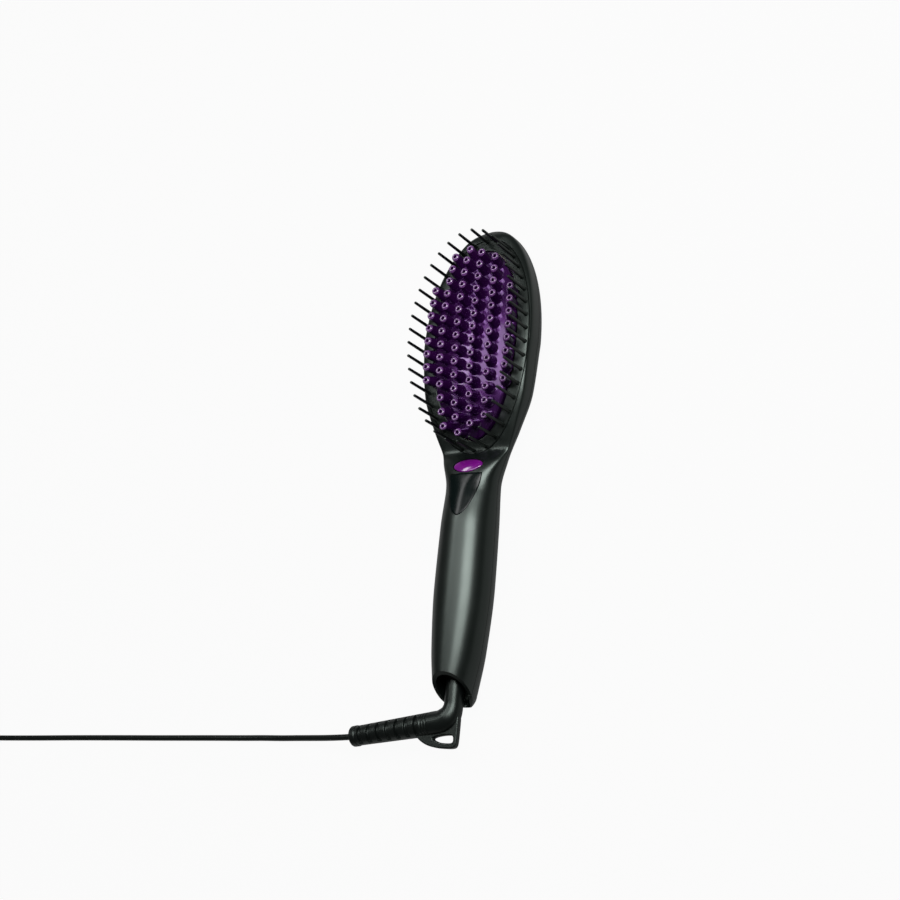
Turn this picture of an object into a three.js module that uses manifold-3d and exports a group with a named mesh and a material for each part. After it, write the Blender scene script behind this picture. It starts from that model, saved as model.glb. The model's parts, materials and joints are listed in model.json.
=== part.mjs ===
// A hair straightening brush that lies on its back, in millimetres: +Z is the bristle side, +Y points
// to the tip of the head, and the origin is under the middle of the housing.
import * as THREE from "three";
import { mergeVertices } from "three/addons/utils/BufferGeometryUtils.js";
import Module from "manifold-3d";

const wasm = await Module();
wasm.setup();

// Clearances
const GAP = 0.3;
const RUNNING = 0.35;

// Housing, seen from the front
const BUTT_TO_GRIP = 67.4;
const GRIP_TO_NECK = 60;
const NECK_TO_HEAD = 87;
const HEAD_TO_TIP = 76.6;
const BUTT_WIDTH = 20.8;
const GRIP_WIDTH = 35.8;
const NECK_WIDTH = 33.7;
const HEAD_WIDTH = 75.6;
const TIP_POWER = 2.1;
const WALL = 2.2;

// Housing, seen from the side
const HANDLE_AXIS = 16;
const HEAD_SEAM = 19;
const TIP_SEAM = 17;
const HANDLE_FRONT = 32;
const BUTT_FRONT = 30.6;
const HEAD_CROWN = 29.8;
const CROWN_FALL_TIP = 5.4;
const CROWN_FALL_NECK = 12;
const TIP_RIM_FALL = 3.2;
const VALLEY_SOFT = 1.5;
const BACK_SINK = 0.6;
const NECK_RISE = 3.2;
const BUTT_RISE = 0.8;
const BACK_POWER = 2.1;
const HANDLE_POWER = 2;
const HEAD_POWER = 8;

// Oblique mouth at the butt of the handle, whose end is tucked in
const MOUTH_FRONT = 16.2;
const MOUTH_BACK_HEIGHT = 9;
const END_ROUND = 5;
const END_TUCK = 1.7;

// Guard ring, its pins, and the heater plate
const RIM_AT_TIP = 7.75;
const RIM_AT_SIDE = 1.6;
const RING_FROM_NECK = 19.95;
const RING_BAND = 7.65;
const RING_THICK = 2.4;
const PIN_COUNT = 38;
const PIN_INSET = 1.85;
const PIN_LENGTH = 20.5;
const PIN_ROOT_RADIUS = 1;
const PIN_TIP_RADIUS = 0.85;
const PLATE_GAP = 0.55;
const PLATE_LIFT = 0.4;
const PLATE_DOME = 4.6;
const PLATE_WALL = 1.6;
const STUD_COLUMNS = 6;
const STUD_COLUMN_PITCH = 10;
const STUD_ROW_PITCH = 7.9;
const STUD_SPREAD_X = 1.11;
const STUD_SPREAD_Y = 1.047;
const STUD_BOW = 0.2;
const STUD_HEIGHT = 8.25;
const STUD_BASE_RADIUS = 3.3;
const STUD_TIP_RADIUS = 2.6;
const STUD_HOLE_RADIUS = 1;
const STUD_HOLE_DEPTH = 3;
const STUD_MARGIN = 0.8;
const STUD_SHIFT = 7.45;

// Heat shield under the plate
const SHIELD_MARGIN = 1.2;
const SHIELD_WALL = 1.8;
const SHIELD_WELL = 9.2;
const POST_RADIUS = 4;

// Heater pack, stacked under a flat seat in the plate
const SEAT_Z = 26;
const SEAT_WIDTH = 18;
const SEAT_LENGTH = 66;
const SHEET_THICK = 0.6;
const ELEMENT_SHORT = 12;
const ELEMENT_WIDTH = 14;
const ELEMENT_THICK = 2.4;
const PRESSURE_THICK = 1.3;

// Button and the inlay panel under it
const BUTTON_FROM_NECK = 11.8;
const BUTTON_WIDTH = 19.6;
const BUTTON_RISE = 4.4;
const BUTTON_DIP = 4.6;
const BUTTON_PROUD = 0.8;
const BUTTON_TRAVEL = 1.2;
const STEM_RADIUS = 2;
const INLAY_WIDTH = 21.6;
const INLAY_LENGTH = 26.5;
const INLAY_THICK = 1;

// Boards
const BOARD_THICK = 1.6;
const BOARD_Z = 12;
const BOARD_WIDTH = 22;
const BOARD_LENGTH = 60;
const BOARD_FROM_NECK = 18.7;
const KEY_BOARD_Z = 10.4;
const KEY_BOARD_THICK = 1.2;
const KEY_BOARD_WIDTH = 17;
const KEY_BOARD_LENGTH = 20;
const SWITCH_SIZE = 4.5;
const SWITCH_HEIGHT = 3.5;

// Screws
const SCREW_RADIUS = 1.4;
const SCREW_HEAD_RADIUS = 2.7;
const SCREW_HEAD_HEIGHT = 2.2;
const BOSS_RADIUS = 4;
const UPPER_SCREW_FROM_NECK = 7.5;
const LOWER_SCREW_FROM_BUTT = 41.7;

// Cord swivel in the butt
const SWIVEL_RADIUS = 5.5;
const SWIVEL_COLLAR = 7.2;
const SWIVEL_JOURNAL = 4.2;
const BUSH_RADIUS = 8;
const BUSH_FLANGE = 9.4;
const CAP_THICK = 3;
const CAP_FROM_BUTT = 16.2;
const RING_CONTACT_RADIUS = 5.8;
const RING_CONTACT_WIDTH = 3;

// Strain relief: elbow, ribbed boot and hanging loop
const BOOT_END = new THREE.Vector3(-67.8, -165, 14);
const BOOT_END_RADIUS = 5.7;
const BOOT_ROOT_RADIUS = 6.9;
const GROOVE_COUNT = 7;
const GROOVE_PITCH = 6.7;
const GROOVE_FROM_END = 7.2;
const GROOVE_DEPTH = 0.9;
const BOOT_START_X = -9;
const BOOT_SLANT = 8.8;
const ELBOW_FROM_END = 20.2;
const ELBOW_REACH = 7.5;
const LOOP_THICK = 4;
const LOOP_DROP = 5.6;
const LOOP_RIGHT = 4.9;
const LOOP_REACH = 26;
const LOOP_CORNER = 4.2;
const LOOP_BAR = 3;
const LOOP_HOLE_REACH = 11.8;
const LOOP_HOLE_WIDTH = 4.6;

// Cord
const CORD_DIAMETER = 3.6;
const LEAD_SIDES = 8;
const LEAD_STEPS = 32;
const COIL_X = -417;
const COIL_Y = -146.6;
const COIL_OUTER = 25.8;
const COIL_PITCH = 4.7;
const COIL_LAYER = 4.3;
const COIL_LAYERS = 4;
const TURNS_PER_LAYER = 2.75;
const CLIMB_TURNS = 0.5;
const LOOP_STEPS = 24;
const COIL_SIDES = 6;
const TIE_THICK = 0.8;
const TIE_WIDTH = 6;
const TIE_ANGLE = Math.PI / 3;
const PLUG_TURN_RADIUS = 14.8;
const PLUG_LENGTH = 35;
const PLUG_WIDTH = 26;
const PLUG_THICK = 13.7;
const PLUG_PIN_LENGTH = 19;
const PLUG_PIN_RADIUS = 2;
const PLUG_PIN_PITCH = 19;

// The lead's route from the boot along the floor to the coil, chosen by hand
const LEAD_ROUTE = [
  [-68.1, -165.05, 14.0], [-73, -165.5, 13.7], [-80, -165.8, 12.8], [-91, -166, 10.7],
  [-104, -166, 7.9], [-117, -166, 5.2], [-130, -166.1, 3.1], [-144, -166.2, 2.1],
  [-160, -166.6, 1.85], [-190, -167.3, 1.85], [-230, -168.3, 1.85], [-270, -169.2, 1.85],
  [-310, -170.2, 1.85], [-345, -171.2, 1.9], [-376, -172, 2.3], [-398, -172.35, 2.75],
];

// Places that follow from the sizes
const LENGTH = BUTT_TO_GRIP + GRIP_TO_NECK + NECK_TO_HEAD + HEAD_TO_TIP;
const BUTT_Y = -LENGTH / 2;
const TIP_Y = LENGTH / 2;
const GRIP_Y = BUTT_Y + BUTT_TO_GRIP;
const NECK_Y = GRIP_Y + GRIP_TO_NECK;
const HEAD_Y = NECK_Y + NECK_TO_HEAD;
const RING_TOP = TIP_Y - RIM_AT_TIP;
const RING_BOTTOM = NECK_Y + RING_FROM_NECK;
const RING_Y = (RING_TOP + RING_BOTTOM) / 2;
const RING_HALF_LENGTH = (RING_TOP - RING_BOTTOM) / 2;
const RING_HALF_WIDTH = HEAD_WIDTH / 2 - RIM_AT_SIDE;
const PLATE_HALF_WIDTH = RING_HALF_WIDTH - RING_BAND - PLATE_GAP;
const PLATE_HALF_LENGTH = RING_HALF_LENGTH - RING_BAND - PLATE_GAP;
const BUTTON_Y = NECK_Y + BUTTON_FROM_NECK;
const KEY_BOARD_Y = BUTTON_Y - KEY_BOARD_LENGTH * 0.225;
const CAP_Y = BUTT_Y + CAP_FROM_BUTT;
const POST_X = RING_HALF_WIDTH * 0.425;
const POST_Y = RING_HALF_LENGTH * 0.5;
const ELEMENT_LENGTH = SEAT_LENGTH - ELEMENT_SHORT;
const CORD_RADIUS = CORD_DIAMETER / 2;

// Materials
function plastic(color, roughness, metalness = 0) {
  return new THREE.MeshStandardMaterial({ color, roughness, metalness });
}
const materials = {
  housing: plastic(0x151816, 0.42),
  guard: plastic(0x101110, 0.5),
  plate: plastic(0x3a0f5a, 0.22, 0.6),
  button: plastic(0x7a1490, 0.18),
  inlay: plastic(0x0a1414, 0.08),
  rubber: plastic(0x0e0e0f, 0.62),
  inner: plastic(0xd8d4c8, 0.6),
  board: plastic(0x1e5a34, 0.5),
  steel: plastic(0x9a9ca0, 0.35, 1),
  brass: plastic(0xb89040, 0.35, 1),
  ceramic: plastic(0xe6e2da, 0.7),
  film: plastic(0xb07818, 0.4),
  black: plastic(0x1a1a1c, 0.5),
  light: plastic(0xc8d8e8, 0.2),
};

// Numbers and curves
const clamp01 = (v) => Math.min(1, Math.max(0, v));
const smooth = (v) => clamp01(v) ** 2 * (3 - 2 * clamp01(v));

// A monotone cubic through [place, value] pairs
function smoothLine(pairs) {
  const n = pairs.length;
  const run = [];
  const rise = [];
  for (let i = 0; i < n - 1; i++) {
    run.push(pairs[i + 1][0] - pairs[i][0]);
    rise.push((pairs[i + 1][1] - pairs[i][1]) / run[i]);
  }
  const slope = [rise[0]];
  for (let i = 1; i < n - 1; i++) {
    const wa = 2 * run[i] + run[i - 1];
    const wb = run[i] + 2 * run[i - 1];
    const turns = rise[i - 1] * rise[i] <= 0;
    slope.push(turns ? 0 : (wa + wb) / (wa / rise[i - 1] + wb / rise[i]));
  }
  slope.push(rise[n - 2]);
  return (place) => {
    let i = 0;
    while (i < n - 2 && place > pairs[i + 1][0]) i++;
    const t = (place - pairs[i][0]) / run[i];
    const a = pairs[i][1] * (1 + 2 * t) * (1 - t) ** 2 + pairs[i + 1][1] * t * t * (3 - 2 * t);
    return a + run[i] * t * (1 - t) * (slope[i] * (1 - t) - slope[i + 1] * t);
  };
}

// Housing form
const blend = (a, b, share) => a + (b - a) * share;
const bodyLine = smoothLine([
  [BUTT_Y, BUTT_WIDTH / 2],
  [blend(BUTT_Y, GRIP_Y, 0.46), blend(BUTT_WIDTH, GRIP_WIDTH, 0.7) / 2],
  [GRIP_Y, GRIP_WIDTH / 2],
  [blend(GRIP_Y, NECK_Y, 0.58), blend(GRIP_WIDTH, NECK_WIDTH, 0.38) / 2],
  [NECK_Y, NECK_WIDTH / 2],
  [blend(NECK_Y, HEAD_Y, 0.195), blend(NECK_WIDTH, HEAD_WIDTH, 0.203) / 2],
  [blend(NECK_Y, HEAD_Y, 0.402), blend(NECK_WIDTH, HEAD_WIDTH, 0.544) / 2],
  [blend(NECK_Y, HEAD_Y, 0.655), blend(NECK_WIDTH, HEAD_WIDTH, 0.871) / 2],
  [HEAD_Y, HEAD_WIDTH / 2],
]);
const widestLine = smoothLine([
  [BUTT_Y, HANDLE_AXIS],
  [NECK_Y - 5, HANDLE_AXIS],
  [blend(NECK_Y, HEAD_Y, 0.52), blend(HANDLE_AXIS, HEAD_SEAM, 0.33)],
  [HEAD_Y, HEAD_SEAM],
  [TIP_Y, TIP_SEAM],
]);
const backLine = smoothLine([
  [BUTT_Y, BUTT_RISE],
  [blend(BUTT_Y, GRIP_Y, 0.46), -BACK_SINK / 2],
  [GRIP_Y, -BACK_SINK],
  [blend(GRIP_Y, NECK_Y, 0.58), 0],
  [NECK_Y, NECK_RISE * 0.5],
  [blend(NECK_Y, HEAD_Y, 0.35), NECK_RISE],
  [blend(NECK_Y, HEAD_Y, 0.655), NECK_RISE * 0.5],
  [HEAD_Y, -BACK_SINK],
  [blend(HEAD_Y, TIP_Y, 0.35), BACK_SINK / 2],
]);
const crownCentre = RING_Y;
const crownReach = RING_HALF_LENGTH - PIN_INSET;
function crown(y) {
  const t = (y - crownCentre) / crownReach;
  return HEAD_CROWN - (t > 0 ? CROWN_FALL_TIP : CROWN_FALL_NECK) * t * t;
}
const VALLEY_Y = crownCentre - crownReach;
const NECK_FALL = [[-25, 0.015], [-10.7, 0.135], [-0.7, 0.27], [7.3, 0.413], [13.3, 0.6], [18.3, 0.842]];
const handleFrontLine = smoothLine([
  [BUTT_Y, BUTT_FRONT],
  [blend(BUTT_Y, GRIP_Y, 0.23), blend(BUTT_FRONT, HANDLE_FRONT, 0.6)],
  [GRIP_Y, HANDLE_FRONT],
  ...NECK_FALL.map(([along, share]) => [NECK_Y + along, blend(HANDLE_FRONT, crown(VALLEY_Y), share)]),
  [VALLEY_Y, crown(VALLEY_Y)],
]);

const tipShare = (y) => (y - HEAD_Y) / HEAD_TO_TIP;
const endTuck = (y) => END_TUCK * (1 - clamp01((y - BUTT_Y) / END_ROUND)) ** 2;
const halfWidth = (y) => (y < HEAD_Y
  ? bodyLine(y) - endTuck(y)
  : HEAD_WIDTH / 2 * Math.sqrt(Math.max(0, 1 - tipShare(y) ** TIP_POWER)));
const rimShare = (y) => Math.max(0, (y - RING_TOP) / RIM_AT_TIP);
const valleyFall = handleFrontLine(VALLEY_Y - 1) - handleFrontLine(VALLEY_Y);
function frontHeight(y) {
  const neckSide = handleFrontLine(Math.min(y, VALLEY_Y)) - valleyFall * Math.max(0, y - VALLEY_Y);
  const headSide = crown(y) - TIP_RIM_FALL * rimShare(y) ** 2;
  return (neckSide + headSide + Math.hypot(neckSide - headSide, VALLEY_SOFT)) / 2;
}
const frontPower = (y) => blend(HANDLE_POWER, HEAD_POWER, smooth((y - NECK_Y + 6) / 55));
function backHeight(y) {
  if (y < HEAD_Y) return backLine(y) + endTuck(y);
  const depth = widestLine(y) + BACK_SINK;
  return widestLine(y) - depth * (1 - 0.75 * tipShare(y) ** 2.4);
}
// Where the two shells part: on the widest line, or lower where the neck is thin
const SEAM_UNDER_FRONT = 1.5;
const seamHeight = (y, inset) => Math.min(widestLine(y), frontHeight(y) - inset - SEAM_UNDER_FRONT);

// Height of the front surface over a point of the housing's plan
function surfaceHeight(x, y) {
  const mid = widestLine(y);
  const share = Math.min(0.999, Math.abs(x) / halfWidth(y));
  const power = frontPower(y);
  return mid + (frontHeight(y) - mid) * (1 - share ** power) ** (1 / power);
}

// A closed mesh from rows of points; each row is a closed loop with as many points as the others.
// The last row's cap can sink into a dimple.
function grid(rows, wrap = false, sink = 0) {
  const sides = rows[0].length;
  const points = rows.flat();
  const index = [];
  const bands = wrap ? rows.length : rows.length - 1;
  for (let r = 0; r < bands; r++) {
    const next = (r + 1) % rows.length;
    for (let s = 0; s < sides; s++) {
      const t = (s + 1) % sides;
      index.push(r * sides + s, r * sides + t, next * sides + s);
      index.push(r * sides + t, next * sides + t, next * sides + s);
    }
  }
  if (!wrap) {
    const last = (rows.length - 1) * sides;
    const middle = (row) => row.reduce((sum, p) => sum.add(p), new THREE.Vector3()).divideScalar(sides);
    const deepEnd = new THREE.Vector3(0, 0, -sink);
    points.push(middle(rows[0]), middle(rows[rows.length - 1]).add(deepEnd));
    for (let s = 0; s < sides; s++) {
      const t = (s + 1) % sides;
      index.push(t, s, points.length - 2);
      index.push(last + s, last + t, points.length - 1);
    }
  }
  const geometry = new THREE.BufferGeometry().setFromPoints(points);
  geometry.setIndex(index);
  return faceOut(geometry);
}

// Turns the faces of a closed mesh outward
function faceOut(geometry) {
  const p = geometry.attributes.position;
  const index = geometry.index.array;
  const [a, b, c] = [new THREE.Vector3(), new THREE.Vector3(), new THREE.Vector3()];
  let volume = 0;
  for (let i = 0; i < index.length; i += 3) {
    a.fromBufferAttribute(p, index[i]);
    b.fromBufferAttribute(p, index[i + 1]);
    c.fromBufferAttribute(p, index[i + 2]);
    volume += a.dot(b.cross(c));
  }
  if (volume < 0) {
    for (let i = 0; i < index.length; i += 3) {
      [index[i], index[i + 1]] = [index[i + 1], index[i]];
    }
  }
  return geometry;
}

// Geometry to solid and back
function toSolid(geometry) {
  const bare = geometry.clone();
  bare.deleteAttribute("normal");
  bare.deleteAttribute("uv");
  const merged = mergeVertices(bare, 1e-4);
  return new wasm.Manifold(new wasm.Mesh({
    numProp: 3,
    vertProperties: new Float32Array(merged.attributes.position.array),
    triVerts: new Uint32Array(merged.index.array),
  }));
}
function fromSolid(solid) {
  const mesh = solid.getMesh();
  const geometry = new THREE.BufferGeometry();
  geometry.setAttribute("position", new THREE.BufferAttribute(new Float32Array(mesh.vertProperties), 3));
  geometry.setIndex(Array.from(mesh.triVerts));
  return geometry;
}
const addAll = (solids) => solids.reduce((sum, solid) => sum.add(solid));

// Simple closed forms
function box(x0, x1, y0, y1, z0, z1) {
  const geometry = new THREE.BoxGeometry(x1 - x0, y1 - y0, z1 - z0);
  return geometry.translate((x0 + x1) / 2, (y0 + y1) / 2, (z0 + z1) / 2);
}
function post(radius, x, y, z0, z1, sides = 12) {
  const geometry = new THREE.CylinderGeometry(radius, radius, z1 - z0, sides);
  return geometry.rotateX(Math.PI / 2).translate(x, y, (z0 + z1) / 2);
}
function axle(radius, y0, y1, sides = 16) {
  const geometry = new THREE.CylinderGeometry(radius, radius, y1 - y0, sides);
  return geometry.translate(0, (y0 + y1) / 2, HANDLE_AXIS);
}
function collar(outer, inner, y0, y1, sides = 16) {
  const half = (y1 - y0) / 2;
  const profile = [[inner, -half], [outer, -half], [outer, half], [inner, half], [inner, -half]];
  const geometry = new THREE.LatheGeometry(profile.map(([r, h]) => new THREE.Vector2(r, h)), sides);
  return geometry.translate(0, (y0 + y1) / 2, HANDLE_AXIS);
}
function prism(outline, z0, z1) {
  const shape = new THREE.Shape(outline.map(([x, y]) => new THREE.Vector2(x, y)));
  const geometry = new THREE.ExtrudeGeometry(shape, { depth: z1 - z0, bevelEnabled: false });
  return geometry.translate(0, 0, z0);
}
function tube(points, radius, sides, steps) {
  const shape = new THREE.Shape();
  for (let s = 0; s < sides; s++) {
    const angle = s / sides * 2 * Math.PI;
    const corner = [radius * Math.cos(angle), radius * Math.sin(angle)];
    if (s === 0) shape.moveTo(...corner);
    else shape.lineTo(...corner);
  }
  const path = new THREE.CatmullRomCurve3(points.map((p) => new THREE.Vector3(...p)));
  return new THREE.ExtrudeGeometry(shape, { steps, extrudePath: path, bevelEnabled: false });
}

// A round sweep along points with a radius for each, as closed rows round the path
function sweep(points, radii, sides) {
  let side = new THREE.Vector3(0, 0, 1);
  const rows = points.map((point, i) => {
    const before = points[Math.max(0, i - 1)];
    const after = points[Math.min(points.length - 1, i + 1)];
    const along = after.clone().sub(before).normalize();
    side = side.clone().addScaledVector(along, -side.dot(along)).normalize();
    const other = along.clone().cross(side);
    return Array.from({ length: sides }, (_, s) => {
      const angle = s / sides * 2 * Math.PI;
      return point.clone()
        .addScaledVector(side, radii[i] * Math.cos(angle))
        .addScaledVector(other, radii[i] * Math.sin(angle));
    });
  });
  return grid(rows);
}

// The object and its pieces
const brush = new THREE.Group();
function piece(name, form, material) {
  const geometry = form.isBufferGeometry ? form : fromSolid(form);
  geometry.computeVertexNormals();
  const mesh = new THREE.Mesh(geometry, material);
  mesh.name = name;
  brush.add(mesh);
  return mesh;
}

// Housing body as a loft, inset from the outer skin
const SKIN_DETAIL = { sides: 24, end: 3, handle: 6, neck: 9, head: 7, tip: 6 };
const CAVITY_DETAIL = { sides: 12, end: 1, handle: 3, neck: 6, head: 4, tip: 3 };
const detail = (inset) => (inset > 0 ? CAVITY_DETAIL : SKIN_DETAIL);
const NECK_REACH = 28;
function stations(inset) {
  const low = BUTT_Y + inset;
  const high = TIP_Y - inset;
  const bends = [
    low, low + END_ROUND, NECK_Y - NECK_REACH / 2, NECK_Y + NECK_REACH, HEAD_Y + HEAD_TO_TIP * 0.55,
  ];
  const { end, handle, neck, head, tip } = detail(inset);
  const counts = [end, handle, neck, head];
  const list = [];
  counts.forEach((count, i) => {
    for (let k = 0; k < count; k++) list.push(blend(bends[i], bends[i + 1], k / count));
  });
  for (let k = 0; k <= tip; k++) {
    list.push(blend(bends[4], high, Math.sin(k / (tip + 0.35) * Math.PI / 2)));
  }
  return list;
}
function section(y, inset) {
  const wide = Math.max(0.5, halfWidth(y) - inset);
  const mid = inset > 0 ? seamHeight(y, inset) : widestLine(y);
  const up = Math.max(0.4, frontHeight(y) - inset - mid);
  const down = Math.max(0.4, mid - backHeight(y) - inset);
  const { sides } = detail(inset);
  return Array.from({ length: sides }, (_, s) => {
    const angle = s / sides * 2 * Math.PI;
    const [c, d] = [Math.cos(angle), Math.sin(angle)];
    const power = 2 / (d > 0 ? frontPower(y) : BACK_POWER);
    const x = wide * Math.sign(c) * Math.abs(c) ** power;
    const z = mid + (d > 0 ? up : down) * Math.sign(d) * Math.abs(d) ** power;
    return new THREE.Vector3(x, y, z);
  });
}
function housingBody(inset) {
  return toSolid(grid(stations(inset).map((y) => section(y, inset))));
}

const FAR = 200;
const outerBody = housingBody(0).intersect(toSolid(box(-FAR, FAR, -FAR, FAR, 0, FAR)));
const innerBody = housingBody(WALL).intersect(toSolid(box(-FAR, FAR, -FAR, FAR, WALL, FAR)));

// Everything under (or over) the seam between the shells, as a solid across the housing
function seamSide(shift, limit) {
  const line = stations(0).map((y) => [y, seamHeight(y, WALL) + shift]);
  line.unshift([BUTT_Y - FAR, line[0][1]]);
  line.push([TIP_Y + FAR, line[line.length - 1][1]]);
  line.push([TIP_Y + FAR, limit], [BUTT_Y - FAR, limit]);
  const shape = new THREE.Shape(line.map(([y, z]) => new THREE.Vector2(y, z)));
  const slab = new THREE.ExtrudeGeometry(shape, { depth: 2 * FAR, bevelEnabled: false });
  slab.translate(0, 0, -FAR);
  slab.applyMatrix4(new THREE.Matrix4().makeBasis(
    new THREE.Vector3(0, 1, 0), new THREE.Vector3(0, 0, 1), new THREE.Vector3(1, 0, 0)));
  return toSolid(slab);
}
const underSeam = seamSide(-GAP / 2, -FAR);
const overSeam = seamSide(GAP / 2, FAR);

// The oblique mouth: all that lies beyond a slanted plane at the butt
function mouthCut() {
  const front = [BUTT_Y + MOUTH_FRONT, BUTT_FRONT + 1];
  const back = [BUTT_Y, MOUTH_BACK_HEIGHT];
  const lean = (front[0] - back[0]) / (front[1] - back[1]);
  const top = [front[0] + lean * 20, front[1] + 20];
  const low = [back[0] - lean * 20, back[1] - 20];
  const shape = new THREE.Shape([top, low, [BUTT_Y - FAR, low[1]], [BUTT_Y - FAR, top[1]]]
    .map(([y, z]) => new THREE.Vector2(y, z)));
  const slab = new THREE.ExtrudeGeometry(shape, { depth: 2 * FAR, bevelEnabled: false });
  slab.translate(0, 0, -FAR);
  slab.applyMatrix4(new THREE.Matrix4().makeBasis(
    new THREE.Vector3(0, 1, 0), new THREE.Vector3(0, 0, 1), new THREE.Vector3(1, 0, 0)));
  return toSolid(slab);
}
// The cavity is open at the mouth, so a short bore joins it to the outside
const mouthBore = toSolid(grid([BUTT_Y - 5, BUTT_Y + WALL + 1].map((y) => (
  section(BUTT_Y + WALL, WALL).map((p) => new THREE.Vector3(p.x, y, p.z))))));

// Ovals round the head, as rows of points
const OVAL_SIDES = 32;
function oval(halfX, halfY, height) {
  return Array.from({ length: OVAL_SIDES }, (_, s) => {
    const angle = (s + 0.5) / OVAL_SIDES * 2 * Math.PI;
    const x = halfX * Math.cos(angle);
    const y = RING_Y + halfY * Math.sin(angle);
    return new THREE.Vector3(x, y, height(x, y));
  });
}

// Guard ring, flush with the housing, with its pins. It is made in arcs, so that what fills the oval
// between them is open.
const ringLow = (x, y) => crown(y) - RING_THICK;
const pinOval = new THREE.EllipseCurve(
  0, RING_Y, RING_HALF_WIDTH - PIN_INSET, RING_HALF_LENGTH - PIN_INSET, -Math.PI / 2, 1.5 * Math.PI);
const ARC_PINS = [[-3, 3], [4, 9], [10, 15], [16, 22], [23, 28], [29, 34]];

// The ring's section at a place along the pins' oval, from the outer edge to the inner one
function ringSection(place) {
  const turns = Math.floor(place);
  const angle = (pinOval.getUtoTmapping(place - turns) + turns - 0.25) * 2 * Math.PI;
  const corner = (inset, height) => {
    const x = (RING_HALF_WIDTH - inset) * Math.cos(angle);
    const y = RING_Y + (RING_HALF_LENGTH - inset) * Math.sin(angle);
    return new THREE.Vector3(x, y, height(x, y));
  };
  return [
    corner(0, ringLow), corner(0, surfaceHeight), corner(RING_BAND / 2, surfaceHeight),
    corner(RING_BAND, surfaceHeight), corner(RING_BAND, ringLow),
  ];
}
function guardPin(number) {
  const { x, y } = pinOval.getPointAt((number + PIN_COUNT) % PIN_COUNT / PIN_COUNT);
  const sunk = 1;
  const pin = new THREE.CylinderGeometry(PIN_TIP_RADIUS, PIN_ROOT_RADIUS, PIN_LENGTH + sunk, 5);
  return toSolid(pin.rotateX(Math.PI / 2).translate(x, y, surfaceHeight(x, y) + (PIN_LENGTH - sunk) / 2));
}
function guardArc(first, last) {
  const halfGap = GAP / 2 / pinOval.getLength();
  const from = (first - 0.5) / PIN_COUNT + halfGap;
  const to = (last + 0.5) / PIN_COUNT - halfGap;
  const steps = Math.round((last - first + 1) / 1.2);
  const rows = Array.from({ length: steps + 1 }, (_, k) => ringSection(blend(from, to, k / steps)));
  const pins = Array.from({ length: last - first + 1 }, (_, k) => guardPin(first + k));
  return addAll([toSolid(grid(rows)), ...pins]);
}

// Heater plate: a crowned dome with a skirt, a flat seat below and its field of studs
const PLATE_END_POWER = 12;
function plateTop(x, y) {
  const across = 1 - (x / PLATE_HALF_WIDTH) ** 2;
  const end = 1 - Math.min(1, Math.abs(y - RING_Y) / PLATE_HALF_LENGTH) ** PLATE_END_POWER;
  return crown(y) + PLATE_LIFT + PLATE_DOME * across * end;
}
function plateShell() {
  const rowAt = (share, height) => oval(PLATE_HALF_WIDTH * share, PLATE_HALF_LENGTH * share, height);
  const under = (x, y) => plateTop(x, y) - PLATE_WALL;
  const skirt = (x, y) => crown(y) - RING_THICK;
  const shares = [0.3, 0.7, 0.93];
  return toSolid(grid([
    ...shares.map((share) => rowAt(share, plateTop)),
    rowAt(1, (x, y) => crown(y) + PLATE_LIFT * 0.7),
    rowAt(1, skirt),
    rowAt(0.94, skirt),
    rowAt(0.93, under),
    rowAt(0.5, under),
  ]));
}
// Studs stand in columns that bow inward at both ends, every other column half a row further
function studPlaces() {
  const places = [];
  const reach = Math.ceil(RING_HALF_LENGTH / STUD_ROW_PITCH);
  for (let column = 0; column < STUD_COLUMNS; column++) {
    const shift = column % 2 === 1 ? 0.5 : 0;
    for (let row = -reach; row <= reach; row++) {
      const along = STUD_SHIFT + (row + shift) * STUD_ROW_PITCH;
      const bow = 1 - STUD_BOW * (along / PLATE_HALF_LENGTH) ** 2;
      const x = (column - (STUD_COLUMNS - 1) / 2) * STUD_COLUMN_PITCH * bow;
      const share = (Math.abs(along) + STUD_MARGIN) / PLATE_HALF_LENGTH;
      if ((x / PLATE_HALF_WIDTH) ** 2 + share ** 2 <= 1) places.push([x, RING_Y + along]);
    }
  }
  return places;
}
const STUD_SIDES = 6;
function stud(x, y) {
  const base = plateTop(x, y);
  const ringAt = (share, height, radius) => Array.from({ length: STUD_SIDES }, (_, s) => {
    const angle = (s + 0.5) / STUD_SIDES * 2 * Math.PI;
    const centreX = x * blend(1, STUD_SPREAD_X, share);
    const centreY = RING_Y + (y - RING_Y) * blend(1, STUD_SPREAD_Y, share);
    return new THREE.Vector3(
      centreX + radius * Math.cos(angle), centreY + radius * Math.sin(angle), height);
  });
  return toSolid(grid([
    ringAt(0, base - 1.1, STUD_BASE_RADIUS),
    ringAt(1, base + STUD_HEIGHT, STUD_TIP_RADIUS),
    ringAt(1, base + STUD_HEIGHT, STUD_HOLE_RADIUS),
  ], false, STUD_HOLE_DEPTH));
}
const PACK_Y = RING_Y + 2;
const packBox = (width, length, z0, z1) => (
  box(-width / 2, width / 2, PACK_Y - length / 2, PACK_Y + length / 2, z0, z1));
const PACK_SCREW_Y = SEAT_LENGTH / 2 - 3;
const packScrewPlaces = [PACK_Y - PACK_SCREW_Y, PACK_Y + PACK_SCREW_Y];
const SMALL_SCREW = 1;
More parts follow.
